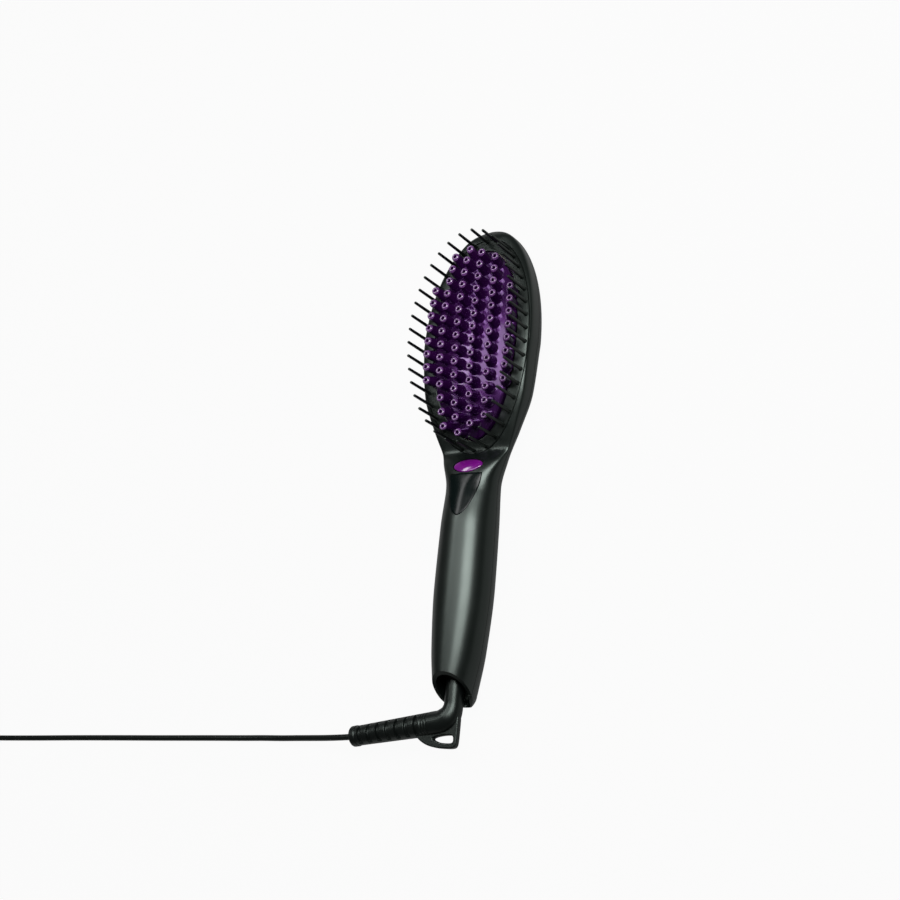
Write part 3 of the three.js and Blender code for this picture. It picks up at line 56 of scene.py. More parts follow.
# Floor and lamps, in metres and watts
FLOOR_HALF = 6.0
FLOOR_DROP = 0.0002
FLOOR_GREY = 0.27
FLOOR_WHITE_SHARES = {"Is Camera Ray": 0.95, "Is Glossy Ray": 0.1, "Is Transmission Ray": 0.1}
SKY_STRENGTH = 0.06
LAMPS = [
    ("key_light", (0.5, 0.22, 1.0), (0.75, 0.45), 12.5),
    ("fill_light", (-0.2, 0.27, 1.0), (0.5, 0.45), 2.2),
    ("strip_light", (-0.68, 0.55, 1.0), (0.24, 0.85), 4.2),
]

# Clearances
GAP = 0.3
RUNNING = 0.35

# Housing, seen from the front
BUTT_TO_GRIP = 67.4
GRIP_TO_NECK = 60.0
NECK_TO_HEAD = 87.0
HEAD_TO_TIP = 76.6
BUTT_WIDTH = 20.8
GRIP_WIDTH = 35.8
NECK_WIDTH = 33.7
HEAD_WIDTH = 75.6
TIP_POWER = 2.1
WALL = 2.2

# Housing, seen from the side
HANDLE_AXIS = 16.0
HEAD_SEAM = 19.0
TIP_SEAM = 17.0
HANDLE_FRONT = 32.0
BUTT_FRONT = 30.6
HEAD_CROWN = 29.8
CROWN_FALL_TIP = 5.4
CROWN_FALL_NECK = 12.0
TIP_RIM_FALL = 3.2
VALLEY_SOFT = 1.5
BACK_SINK = 0.6
NECK_RISE = 3.2
BUTT_RISE = 0.8
BACK_POWER = 2.1
HANDLE_POWER = 2.0
HEAD_POWER = 8.0
SEAM_UNDER_FRONT = 1.5
MOUTH_FRONT = 16.2
MOUTH_BACK_HEIGHT = 9.0
END_ROUND = 5.0
END_TUCK = 1.7
CAP_FROM_BUTT = 16.2
LOWER_SCREW_FROM_BUTT = 41.7
UPPER_SCREW_FROM_NECK = 7.5
SCREW_HEAD_RADIUS = 3.0
SCREW_HEAD_DEPTH = 4.3
SCREW_HOLE_RADIUS = 1.7

# Guard ring, pins, plate and studs
RIM_AT_TIP = 7.75
RIM_AT_SIDE = 1.6
RING_FROM_NECK = 19.95
RING_BAND = 7.65
RING_THICK = 2.4
PIN_COUNT = 38
PIN_INSET = 1.85
PIN_LENGTH = 20.5
PIN_ROOT_RADIUS = 1.0
PIN_TIP_RADIUS = 0.85
PIN_BOSS_RADIUS = 1.35
PLATE_GAP = 0.55
PLATE_LIFT = 0.4
PLATE_DOME = 4.6
PLATE_WALL = 1.6
PLATE_END_POWER = 12
PLATE_EDGE = 0.09
PLATE_EDGE_DROP = 1.0
STUD_COLUMNS = 6
STUD_COLUMN_PITCH = 10.0
STUD_ROW_PITCH = 7.9
STUD_SPREAD_X = 1.11
STUD_SPREAD_Y = 1.047
STUD_BOW = 0.2
STUD_HEIGHT = 8.25
STUD_BASE_RADIUS = 3.3
STUD_TIP_RADIUS = 2.6
STUD_HOLE_RADIUS = 1.0
STUD_HOLE_DEPTH = 3.0
STUD_SHOULDER = 1.7
STUD_SIDES = 28
STUD_MARGIN = 0.8
STUD_SHIFT = 7.45

# Button and inlay panel
BUTTON_FROM_NECK = 11.8
BUTTON_WIDTH = 19.6
BUTTON_RISE = 4.4
BUTTON_DIP = 4.6
BUTTON_PROUD = 0.8
BUTTON_BULGE = 0.9
BUTTON_DEPTH = 4.0
BUTTON_SHIFT = 0.6
INLAY_FROM_BUTTON = 1.6
INLAY_WIDTH = 21.6
INLAY_LENGTH = 26.5
INLAY_THICK = 1.0

# Strain relief
SWIVEL_RADIUS = 5.5
BOOT_END = np.array([-67.8, -165.0, 14.0])
BOOT_END_RADIUS = 5.7
BOOT_ROOT_RADIUS = 6.9
BOOT_START_X = -9.0
BOOT_SLANT = 8.8
ELBOW_FROM_END = 20.2
ELBOW_REACH = 7.5
CORE_BELOW_CAP = 2.5
GROOVE_COUNT = 7
GROOVE_PITCH = 6.7
GROOVE_FROM_END = 7.2
GROOVE_DEPTH = 1.3
SPLIT_PAST_GROOVES = 8.2
LOOP_THICK = 4.0
LOOP_SOFT = 0.7
LOOP_OUTLINE = [
    (4.9, 16.0), (5.0, 6.0), (4.9, -2.0), (4.3, -4.5), (2.4, -5.5), (-3, -5.6), (-10, -5.3),
    (-16.5, -3.6), (-22.0, 0.0), (-25.6, 4.4), (-20, 8.2), (-8, 13.2),
]
LOOP_HOLE = [
    (2.6, -0.4), (2.5, -1.9), (1.2, -2.6), (-3.5, -2.65), (-8.0, -2.0), (-11.9, -0.3),
    (-8.5, 1.0), (-3.8, 1.8), (0.6, 2.05), (2.4, 1.3),
]

# Cord: its diameter, its stored coil and its plug
CORD_DIAMETER = 3.6
CORD_IN_BOOT = 24.0
CORD_SIDES = 24
COIL_X = -417.0
COIL_Y = -146.6
COIL_OUTER = 25.8
COIL_PITCH = 4.7
COIL_LAYER = 4.3
COIL_LAYERS = 4
TURNS_PER_LAYER = 2.75
CLIMB_TURNS = 0.5
TIE_THICK = 0.8
TIE_WIDTH = 6.0
TIE_HEADROOM = 3.2
TIE_ANGLE = math.pi / 3
PLUG_TURN_RADIUS = 14.8
PLUG_LENGTH = 35.0
PLUG_WIDTH = 26.0
PLUG_THICK = 13.7
PLUG_PIN_LENGTH = 19.0
PLUG_PIN_RADIUS = 2.0
PLUG_PIN_PITCH = 19.0

# The lead's route from the boot along the floor, the same points as the solid's
LEAD_ROUTE = [
    (-68.1, -165.05, 14.0), (-73, -165.5, 13.7), (-80, -165.8, 12.8), (-91, -166, 10.7),
    (-104, -166, 7.9), (-117, -166, 5.2), (-130, -166.1, 3.1), (-144, -166.2, 2.1),
    (-160, -166.6, 1.85), (-190, -167.3, 1.85), (-230, -168.3, 1.85), (-270, -169.2, 1.85),
    (-310, -170.2, 1.85), (-345, -171.2, 1.9), (-376, -172, 2.3), (-398, -172.35, 2.75),
]

# Places that follow from the sizes
LENGTH = BUTT_TO_GRIP + GRIP_TO_NECK + NECK_TO_HEAD + HEAD_TO_TIP
BUTT_Y = -LENGTH / 2
TIP_Y = LENGTH / 2
GRIP_Y = BUTT_Y + BUTT_TO_GRIP
NECK_Y = GRIP_Y + GRIP_TO_NECK
HEAD_Y = NECK_Y + NECK_TO_HEAD
RING_TOP = TIP_Y - RIM_AT_TIP
RING_BOTTOM = NECK_Y + RING_FROM_NECK
RING_Y = (RING_TOP + RING_BOTTOM) / 2
RING_HALF_LENGTH = (RING_TOP - RING_BOTTOM) / 2
RING_HALF_WIDTH = HEAD_WIDTH / 2 - RIM_AT_SIDE
PLATE_HALF_WIDTH = RING_HALF_WIDTH - RING_BAND - PLATE_GAP
PLATE_HALF_LENGTH = RING_HALF_LENGTH - RING_BAND - PLATE_GAP
BUTTON_Y = NECK_Y + BUTTON_FROM_NECK
BUTTON_MIDDLE = BUTTON_Y - BUTTON_SHIFT
INLAY_TOP = BUTTON_Y - BUTTON_DIP - INLAY_FROM_BUTTON
CORD_RADIUS = CORD_DIAMETER / 2


# Numbers and curves

def blend(a, b, share):
    return a + (b - a) * share


def smooth(value):
    v = np.clip(value, 0.0, 1.0)
    return v * v * (3 - 2 * v)


def smooth_line(pairs):
    """A monotone cubic through (place, value) pairs, as a function of place."""
    xs = np.array([p[0] for p in pairs], float)
    ys = np.array([p[1] for p in pairs], float)
    run = np.diff(xs)
    rise = np.diff(ys) / run
    slope = np.zeros_like(xs)
    slope[0] = rise[0]
    slope[-1] = rise[-1]
    for i in range(1, len(xs) - 1):
        if rise[i - 1] * rise[i] > 0:
            wa = 2 * run[i] + run[i - 1]
            wb = run[i] + 2 * run[i - 1]
            slope[i] = (wa + wb) / (wa / rise[i - 1] + wb / rise[i])

    def at(place):
        place = np.asarray(place, float)
        i = np.clip(np.searchsorted(xs, place) - 1, 0, len(xs) - 2)
        t = (place - xs[i]) / run[i]
        a = ys[i] * (1 + 2 * t) * (1 - t) ** 2 + ys[i + 1] * t * t * (3 - 2 * t)
        return a + run[i] * t * (1 - t) * (slope[i] * (1 - t) - slope[i + 1] * t)

    return at


def spline(points, step):
    """Points along a centripetal Catmull-Rom curve through the given points, about step apart."""
    p = np.array(points, float)
    p = np.vstack([2 * p[0] - p[1], p, 2 * p[-1] - p[-2]])
    line = []
    for i in range(1, len(p) - 2):
        knots = np.zeros(4)
        for k in range(1, 4):
            knots[k] = knots[k - 1] + np.linalg.norm(p[i - 1 + k] - p[i - 2 + k]) ** 0.5
        count = max(1, round(float(np.linalg.norm(p[i + 1] - p[i])) / step))
        for t in np.linspace(knots[1], knots[2], count, endpoint=False):
            a = [((knots[k + 1] - t) * p[i - 1 + k] + (t - knots[k]) * p[i + k])
                 / (knots[k + 1] - knots[k]) for k in range(3)]
            b = [((knots[k + 2] - t) * a[k] + (t - knots[k]) * a[k + 1])
                 / (knots[k + 2] - knots[k]) for k in range(2)]
            line.append(((knots[2] - t) * b[0] + (t - knots[1]) * b[1]) / (knots[2] - knots[1]))
    line.append(p[-2])
    return np.array(line)


# Housing form

body_line = smooth_line([
    (BUTT_Y, BUTT_WIDTH / 2),
    (blend(BUTT_Y, GRIP_Y, 0.46), blend(BUTT_WIDTH, GRIP_WIDTH, 0.7) / 2),
    (GRIP_Y, GRIP_WIDTH / 2),
    (blend(GRIP_Y, NECK_Y, 0.58), blend(GRIP_WIDTH, NECK_WIDTH, 0.38) / 2),
    (NECK_Y, NECK_WIDTH / 2),
    (blend(NECK_Y, HEAD_Y, 0.195), blend(NECK_WIDTH, HEAD_WIDTH, 0.203) / 2),
    (blend(NECK_Y, HEAD_Y, 0.402), blend(NECK_WIDTH, HEAD_WIDTH, 0.544) / 2),
    (blend(NECK_Y, HEAD_Y, 0.655), blend(NECK_WIDTH, HEAD_WIDTH, 0.871) / 2),
    (HEAD_Y, HEAD_WIDTH / 2),
])
widest_line = smooth_line([
    (BUTT_Y, HANDLE_AXIS),
    (NECK_Y - 5, HANDLE_AXIS),
    (blend(NECK_Y, HEAD_Y, 0.52), blend(HANDLE_AXIS, HEAD_SEAM, 0.33)),
    (HEAD_Y, HEAD_SEAM),
    (TIP_Y, TIP_SEAM),
])
back_line = smooth_line([
    (BUTT_Y, BUTT_RISE),
    (blend(BUTT_Y, GRIP_Y, 0.46), -BACK_SINK / 2),
    (GRIP_Y, -BACK_SINK),
    (blend(GRIP_Y, NECK_Y, 0.58), 0),
    (NECK_Y, NECK_RISE * 0.5),
    (blend(NECK_Y, HEAD_Y, 0.35), NECK_RISE),
    (blend(NECK_Y, HEAD_Y, 0.655), NECK_RISE * 0.5),
    (HEAD_Y, -BACK_SINK),
    (blend(HEAD_Y, TIP_Y, 0.35), BACK_SINK / 2),
])


def crown(y):
    """Height of the ring's middle line along the head."""
    t = (np.asarray(y, float) - RING_Y) / (RING_HALF_LENGTH - PIN_INSET)
    return HEAD_CROWN - np.where(t > 0, CROWN_FALL_TIP, CROWN_FALL_NECK) * t * t


VALLEY_Y = RING_Y - RING_HALF_LENGTH + PIN_INSET
VALLEY_Z = float(crown(VALLEY_Y))
NECK_FALL = [(-25, 0.015), (-10.7, 0.135), (-0.7, 0.27), (7.3, 0.413), (13.3, 0.6), (18.3, 0.842)]
handle_front_line = smooth_line([
    (BUTT_Y, BUTT_FRONT),
    (blend(BUTT_Y, GRIP_Y, 0.23), blend(BUTT_FRONT, HANDLE_FRONT, 0.6)),
    (GRIP_Y, HANDLE_FRONT),
    *[(NECK_Y + along, blend(HANDLE_FRONT, VALLEY_Z, share)) for along, share in NECK_FALL],
    (VALLEY_Y, VALLEY_Z),
])


def end_tuck(y):
    return END_TUCK * (1 - np.clip((np.asarray(y, float) - BUTT_Y) / END_ROUND, 0, 1)) ** 2


def half_width(y):
    y = np.asarray(y, float)
    share = np.clip((y - HEAD_Y) / HEAD_TO_TIP, 0, 1)
    tip = HEAD_WIDTH / 2 * np.sqrt(1 - share ** TIP_POWER)
    return np.where(y < HEAD_Y, body_line(y) - end_tuck(y), tip)


VALLEY_FALL = float(handle_front_line(VALLEY_Y - 1) - handle_front_line(VALLEY_Y))


def front_height(y):
    y = np.asarray(y, float)
    rim = np.clip((y - RING_TOP) / RIM_AT_TIP, 0, None)
    neck_side = handle_front_line(np.minimum(y, VALLEY_Y)) - VALLEY_FALL * np.maximum(0, y - VALLEY_Y)
    head_side = crown(y) - TIP_RIM_FALL * rim ** 2
    return (neck_side + head_side + np.hypot(neck_side - head_side, VALLEY_SOFT)) / 2


def front_power(y):
    return blend(HANDLE_POWER, HEAD_POWER, smooth((np.asarray(y, float) - NECK_Y + 6) / 55))


def back_height(y):
    y = np.asarray(y, float)
    share = np.clip((y - HEAD_Y) / HEAD_TO_TIP, 0, 1)
    depth = widest_line(y) + BACK_SINK
    head_side = widest_line(y) - depth * (1 - 0.75 * share ** 2.4)
    return np.where(y < HEAD_Y, back_line(y) + end_tuck(y), head_side)


def seam_height(y, inset=WALL):
    return np.minimum(widest_line(y), front_height(y) - inset - SEAM_UNDER_FRONT)


def surface_height(x, y):
    """Height of the housing's front surface over a point of its plan."""
    x = np.asarray(x, float)
    mid = widest_line(y)
    share = np.minimum(0.999, np.abs(x) / half_width(y))
    power = front_power(y)
    return mid + (front_height(y) - mid) * (1 - share ** power) ** (1 / power)


def plate_top(x, y):
    x = np.asarray(x, float)
    y = np.asarray(y, float)
    across = 1 - (x / PLATE_HALF_WIDTH) ** 2
    end = 1 - np.minimum(1, np.abs(y - RING_Y) / PLATE_HALF_LENGTH) ** PLATE_END_POWER
    return crown(y) + PLATE_LIFT + PLATE_DOME * across * end


# Mesh building

def new_object(name, data):
    piece = bpy.data.objects.new(name, data)
    bpy.context.scene.collection.objects.link(piece)
    return piece


def mesh_data(rows, wrap):
    """Vertices and faces of a skin over closed rows of points, each with as many as the others."""
    rows = np.asarray(rows, float)
    count, sides = rows.shape[:2]
    verts = rows.reshape(-1, 3)
    r = np.arange(count if wrap else count - 1)[:, None]
    s = np.arange(sides)[None, :]
    nr = (r + 1) % count
    ns = (s + 1) % sides
    quads = np.stack([r * sides + s, r * sides + ns, nr * sides + ns, nr * sides + s], -1)
    faces = quads.reshape(-1, 4).tolist()
    if not wrap:
        ends = np.vstack([rows[0].mean(0), rows[-1].mean(0)])
        first = len(verts)
        verts = np.vstack([verts, ends])
        last = (count - 1) * sides
        for k in range(sides):
            n = (k + 1) % sides
            faces.append([n, k, first])
            faces.append([last + k, last + n, first + 1])
    return verts, faces


def volume_of(verts, faces):
    total = 0.0
    for face in faces:
        for k in range(1, len(face) - 1):
            total += np.dot(verts[face[0]], np.cross(verts[face[k]], verts[face[k + 1]]))
    return total


def make_mesh(name, parts, sharp=35.0):
    """One mesh object from (rows, wrap) skins, with its faces turned outward."""
    all_verts = []
    all_faces = []
    base = 0
    for rows, wrap in parts:
        verts, faces = mesh_data(rows, wrap)
        if volume_of(verts, faces) < 0:
            faces = [face[::-1] for face in faces]
        all_faces += [[i + base for i in face] for face in faces]
        all_verts.append(verts)
        base += len(verts)
    mesh = bpy.data.meshes.new(name)
    mesh.from_pydata((np.vstack(all_verts) * MM).tolist(), [], all_faces)
    mesh.validate()
    shade(mesh, sharp)
    return new_object(name, mesh)


def shade(mesh, sharp):
    mesh.shade_smooth()
    mesh.set_sharp_from_angle(angle=math.radians(sharp))


def carve(piece, tool, operation="DIFFERENCE", sharp=35.0):
    """Cuts or joins another closed mesh into a piece, and removes that mesh."""
    change = piece.modifiers.new("carve", "BOOLEAN")
    change.operation = operation
    change.object = tool
    change.solver = "EXACT"
    apply_modifiers(piece, sharp)
    bpy.data.objects.remove(tool)


def apply_modifiers(piece, sharp=35.0):
    graph = bpy.context.evaluated_depsgraph_get()
    mesh = bpy.data.meshes.new_from_object(piece.evaluated_get(graph))
    piece.modifiers.clear()
    piece.data = mesh
    shade(mesh, sharp)


def ring_of(radius, sides, phase=0.0):
    angle = np.arange(sides) / sides * 2 * np.pi + phase
    return radius * np.cos(angle), radius * np.sin(angle)


def turned(profile, sides, place, lean=(0.0, 0.0)):
    """Rows of a round form about +Z from (radius, height) pairs, leaning by lean per unit of height."""
    rows = []
    for radius, height in profile:
        x, y = ring_of(radius, sides)
        rows.append(np.stack([
            place[0] + x + lean[0] * height, place[1] + y + lean[1] * height,
            np.full(sides, place[2] + height)], -1))
    return rows


def swept(points, radii, sides):
    """Rows round a line of points with a radius at each."""
    points = np.asarray(points, float)
    along = np.gradient(points, axis=0)
    along /= np.linalg.norm(along, axis=1)[:, None]
    side = np.array([0.0, 0.0, 1.0])
    angle = np.arange(sides) / sides * 2 * np.pi
    rows = []
    for point, radius, ahead in zip(points, radii, along):
        side = side - ahead * np.dot(side, ahead)
        side /= np.linalg.norm(side)
        other = np.cross(ahead, side)
        reach = np.broadcast_to(radius, (sides,))[:, None]
        rows.append(point + reach * (np.cos(angle)[:, None] * side + np.sin(angle)[:, None] * other))
    return rows


def box_rows(low, high):
    (x0, y0, z0), (x1, y1, z1) = low, high
    return [[(x0, y, z0), (x1, y, z0), (x1, y, z1), (x0, y, z1)] for y in (y0, y1)]


def finish_piece(piece, body, slot, *nodes):
    """Puts a piece on its body, names its finish and hides the solids that it stands for."""
    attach(piece, body)
    if nodes:
        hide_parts(*nodes)
    piece.data.materials.clear()
    piece.data.materials.append(looks[slot])
    return piece


# Materials

WHITE = (1.0, 1.0, 1.0)
GREENISH = (0.86, 1.0, 0.93)
DRIFT_SCALE = 60.0
RELIEF_DEPTH = 0.0002
COAT_ROUGHNESS = 0.08


def new_material(name):
    material = bpy.data.materials.new(name)
    material.use_nodes = True
    nodes = material.node_tree.nodes
    return material, nodes, material.node_tree.links, nodes["Principled BSDF"]


def surface(name, dark, light, rough, grain, bump, coat=0.0, metal=0.0, specular=0.5, tint=WHITE):
    """A moulded or painted surface: slow colour drift, uneven gloss and a fine grain."""
    material, nodes, links, shader = new_material(name)
    where = nodes.new("ShaderNodeTexCoord")
    drift = nodes.new("ShaderNodeTexNoise")
    drift.inputs["Scale"].default_value = DRIFT_SCALE
    drift.inputs["Detail"].default_value = 4.0
    links.new(where.outputs["Object"], drift.inputs["Vector"])
    shade_ramp = nodes.new("ShaderNodeValToRGB")
    shade_ramp.color_ramp.elements[0].position = 0.35
    shade_ramp.color_ramp.elements[0].color = (*dark, 1)
    shade_ramp.color_ramp.elements[1].position = 0.68
    shade_ramp.color_ramp.elements[1].color = (*light, 1)
    links.new(drift.outputs["Fac"], shade_ramp.inputs["Fac"])
    links.new(shade_ramp.outputs["Color"], shader.inputs["Base Color"])
    gloss = nodes.new("ShaderNodeMapRange")
    gloss.inputs["To Min"].default_value = rough[0]
    gloss.inputs["To Max"].default_value = rough[1]
    links.new(drift.outputs["Fac"], gloss.inputs["Value"])
    links.new(gloss.outputs["Result"], shader.inputs["Roughness"])
    fine = nodes.new("ShaderNodeTexNoise")
    fine.inputs["Scale"].default_value = grain
    fine.inputs["Detail"].default_value = 3.0
    links.new(where.outputs["Object"], fine.inputs["Vector"])
    relief = nodes.new("ShaderNodeBump")
    relief.inputs["Strength"].default_value = bump
    relief.inputs["Distance"].default_value = RELIEF_DEPTH
    links.new(fine.outputs["Fac"], relief.inputs["Height"])
    links.new(relief.outputs["Normal"], shader.inputs["Normal"])
    shader.inputs["Metallic"].default_value = metal
    shader.inputs["Coat Weight"].default_value = coat
    shader.inputs["Coat Roughness"].default_value = COAT_ROUGHNESS
    shader.inputs["Specular IOR Level"].default_value = specular
    shader.inputs["Specular Tint"].default_value = (*tint, 1)
    return material


# Each finish: its darkest and lightest colour, its range of roughness, its grain and the grain's strength
looks = {
    "housing": surface("housing", (0.0022, 0.0036, 0.0031), (0.0034, 0.005, 0.0044),
                       (0.3, 0.36), 2600, 0.08, specular=0.68, tint=GREENISH),
    "guard": surface("guard", (0.0018, 0.0028, 0.0024), (0.0028, 0.004, 0.0034),
                     (0.32, 0.4), 2400, 0.08, specular=0.45, tint=GREENISH),
    "plate": surface("plate", (0.045, 0.004, 0.08), (0.07, 0.007, 0.115),
                     (0.18, 0.24), 1500, 0.02, coat=0.7, metal=0.65),
    # The studs' rims: a paler purple painted on as a highlight, standing in for light caught on their round
    # crests
    "stud_rim_highlight": surface("stud_rim_highlight", (0.1, 0.03, 0.14), (0.14, 0.045, 0.19),
                        (0.16, 0.22), 1500, 0.02, coat=1.0),
    "button": surface("button", (0.14, 0.004, 0.17), (0.2, 0.008, 0.24),
                      (0.12, 0.2), 1200, 0.02, coat=1.0),
    "inlay": surface("inlay", (0.0006, 0.003, 0.0028), (0.001, 0.0042, 0.004),
                     (0.18, 0.24), 900, 0.01, specular=0.25),
    "rubber": surface("rubber", (0.0025, 0.0034, 0.0032), (0.004, 0.005, 0.0047),
                      (0.3, 0.38), 3200, 0.08, specular=0.5, tint=GREENISH),
    "inner": surface("inner", (0.5, 0.47, 0.4), (0.6, 0.57, 0.5), (0.5, 0.6), 1800, 0.1),
    "inner_black": surface("inner_black", (0.008, 0.008, 0.008), (0.014, 0.014, 0.014),
                           (0.45, 0.55), 1800, 0.1),
    "board": surface("board", (0.01, 0.08, 0.03), (0.02, 0.12, 0.05), (0.3, 0.4), 900, 0.08, coat=0.4),
    "steel": surface("steel", (0.42, 0.43, 0.45), (0.55, 0.56, 0.58), (0.25, 0.38), 2200, 0.06, metal=1.0),
    "brass": surface("brass", (0.6, 0.4, 0.14), (0.72, 0.5, 0.2), (0.25, 0.4), 1800, 0.06, metal=1.0),
    "ceramic": surface("ceramic", (0.7, 0.68, 0.62), (0.8, 0.78, 0.72), (0.6, 0.7), 2600, 0.1),
    "film": surface("film", (0.4, 0.16, 0.02), (0.5, 0.22, 0.03), (0.15, 0.25), 900, 0.04, coat=0.3),
    "light": surface("light", (0.7, 0.78, 0.86), (0.8, 0.86, 0.92), (0.1, 0.2), 900, 0.02, coat=0.5),
}


def paint_frame():
    """Every carried-over solid gets the finish of its slot."""
    slots = {row["node"]: row["material_slot"] for row in frame["record"]["subparts"]}
    for name, node in frame["nodes"].items():
        look = looks[slots[name]]
        for place in node.material_slots:
            place.material = look


# Camera

def make_camera():
    turn, tilt, lean = VIEW_TURN, VIEW_TILT, VIEW_LEAN
    back = np.array([math.cos(tilt) * math.sin(turn), -math.sin(tilt), math.cos(tilt) * math.cos(turn)])
    up = np.array([0.0, 1.0, 0.0]) + math.sin(tilt) * back
    up /= np.linalg.norm(up)
    right = np.cross(up, back)
    up = math.cos(lean) * up - math.sin(lean) * right
    right = np.cross(up, back)
    data = bpy.data.cameras.new("camera")
    data.lens = VIEW_LENS
    data.sensor_width = VIEW_SENSOR
    data.clip_start = 0.01
    data.clip_end = 50.0
    camera = new_object("camera", data)
    place = (VIEW_TARGET + back * VIEW_DISTANCE) * MM
    heading = Matrix((right, up, back)).transposed().to_4x4()
    camera.matrix_world = Matrix.Translation(Vector(place)) @ heading
    bpy.context.scene.camera = camera


# Cord

STUB_LOW = BUTT_Y + CAP_FROM_BUTT - CORE_BELOW_CAP - GAP
ELBOW_Y = BOOT_END[1] + ELBOW_FROM_END
BOOT_START = np.array([BOOT_START_X, BOOT_END[1] + BOOT_SLANT, HANDLE_AXIS])
BOOT_RUN = float(np.linalg.norm(BOOT_END - BOOT_START))
BOOT_AHEAD = (BOOT_END - BOOT_START) / BOOT_RUN
SPLIT_FROM_END = GROOVE_FROM_END + (GROOVE_COUNT - 1) * GROOVE_PITCH + SPLIT_PAST_GROOVES

COIL_LOW = TIE_THICK + GAP + CORD_RADIUS
PLUG_Z = COIL_LOW + (COIL_LAYERS - 1) * COIL_LAYER + CORD_RADIUS + GAP + PLUG_THICK / 2
SPIRAL_TURNS = TURNS_PER_LAYER - CLIMB_TURNS
COIL_INNER = COIL_OUTER - COIL_PITCH * SPIRAL_TURNS


def coil_at(turn):
    """The coil's line: it spirals in and out again, and climbs a layer where the spiral reverses."""
    layer = min(COIL_LAYERS - 1, int(turn // TURNS_PER_LAYER))
    in_layer = turn - layer * TURNS_PER_LAYER
    spiral = min(in_layer, SPIRAL_TURNS) * COIL_PITCH
    radius = COIL_OUTER - spiral if layer % 2 == 0 else COIL_INNER + spiral
    climb = max(0.0, in_layer - SPIRAL_TURNS) / CLIMB_TURNS
    low = COIL_LOW + layer * COIL_LAYER
    high = PLUG_Z if layer == COIL_LAYERS - 1 else low + COIL_LAYER
    angle = -math.pi / 2 - turn * 2 * math.pi
    return (COIL_X + radius * math.cos(angle), COIL_Y + radius * math.sin(angle), blend(low, high, climb))


def cord_line():
    """The cord's middle line, from inside the boot to the plug."""
    inside = [tuple(BOOT_END - BOOT_AHEAD * back) for back in (CORD_IN_BOOT, CORD_IN_BOOT / 2)]
    onto_coil = (COIL_X + CORD_DIAMETER, COIL_Y - COIL_OUTER, COIL_LOW)
    lead = spline([*inside, *LEAD_ROUTE, onto_coil], step=3.0)
    steps_per_turn = 48
    count = round(COIL_LAYERS * TURNS_PER_LAYER * steps_per_turn)
    coil = [coil_at(k / steps_per_turn) for k in range(count + 1)]
    end = coil[-1]
    bend = []
    bend_steps = 12
    for k in range(1, bend_steps + 1):
        angle = k / bend_steps * math.pi / 2
        bend.append((end[0] - PLUG_TURN_RADIUS * math.sin(angle),
                     end[1] + PLUG_TURN_RADIUS * (1 - math.cos(angle)), PLUG_Z))
    tail = (bend[-1][0], bend[-1][1] + CORD_DIAMETER, PLUG_Z)
    return np.vstack([lead, coil, bend, [tail]])


def make_cord():
    line = cord_line()
    rows = swept(line, np.full(len(line), CORD_RADIUS), CORD_SIDES)
    cord = make_mesh("mains_cord", [(rows, False)], sharp=50)
    finish_piece(cord, "cord_swivel", "rubber", "cord_lead", "cord_coil")
    return cord, line


def rounded_outline(width, thick, power, sides=48):
    angle = np.arange(sides) / sides * 2 * np.pi
    c, s = np.cos(angle), np.sin(angle)
    reach = (np.abs(c) ** power + np.abs(s) ** power) ** (-1 / power)
    return width / 2 * reach * c, thick / 2 * reach * s


def make_plug(line):
    """A two-pin plug on the coil: ribbed neck, flat body with a grip waist, and sleeved pins."""
    x, y, z = COIL_X - PLUG_TURN_RADIUS, line[-1][1] + GAP, PLUG_Z
    stages = [
        (0.0, 6.4, 6.4), (0.5, 7.2, 7.2), (2.0, 7.4, 7.4), (2.3, 6.6, 6.6), (3.3, 6.6, 6.6),
        (3.6, 7.8, 7.6), (5.2, 8.0, 7.8), (5.5, 7.1, 7.0), (6.5, 7.1, 7.0), (6.8, 8.4, 8.0),
        (9.0, 9.0, 8.4), (11.0, 11.0, 9.2), (14.0, 15.5, 10.9), (18.0, 19.8, 12.3),
        (22.0, 22.6, 13.0), (26.0, 24.4, 13.4), (30.0, 25.6, 13.6),
        (33.2, PLUG_WIDTH, PLUG_THICK), (34.2, 25.7, 13.4), (34.8, 25.0, 12.7),
        (PLUG_LENGTH, 24.2, 11.9),
    ]
    rows = []
    for along, width, thick in stages:
        a, b = rounded_outline(width, thick, 2.2 + 1.2 * min(1.0, along / 20))
        rows.append(np.stack([x + a, np.full_like(a, y + along), z + b], -1))
    body = make_mesh("plug_shell", [(rows, False)])
    finish_piece(body, "cord_swivel", "rubber", "plug_body")
    pieces = [body]
    face = y + PLUG_LENGTH + GAP
    for label, side in (("a", -1), ("b", 1)):
        profile = [
            (PLUG_PIN_RADIUS, 0.0), (PLUG_PIN_RADIUS, 9.6), (1.9, 9.8), (1.9, 17.2), (1.7, 18.2),
            (1.2, 18.8), (0.5, PLUG_PIN_LENGTH),
        ]
        line_points = [(x + side * PLUG_PIN_PITCH / 2, face + along, z) for _, along in profile]
        pin = make_mesh(f"plug_prong_{label}", [(swept(line_points, [r for r, _ in profile], 32), False)])
        finish_piece(pin, "cord_swivel", "steel", f"plug_pin_{label}")
        pieces.append(pin)
    return pieces


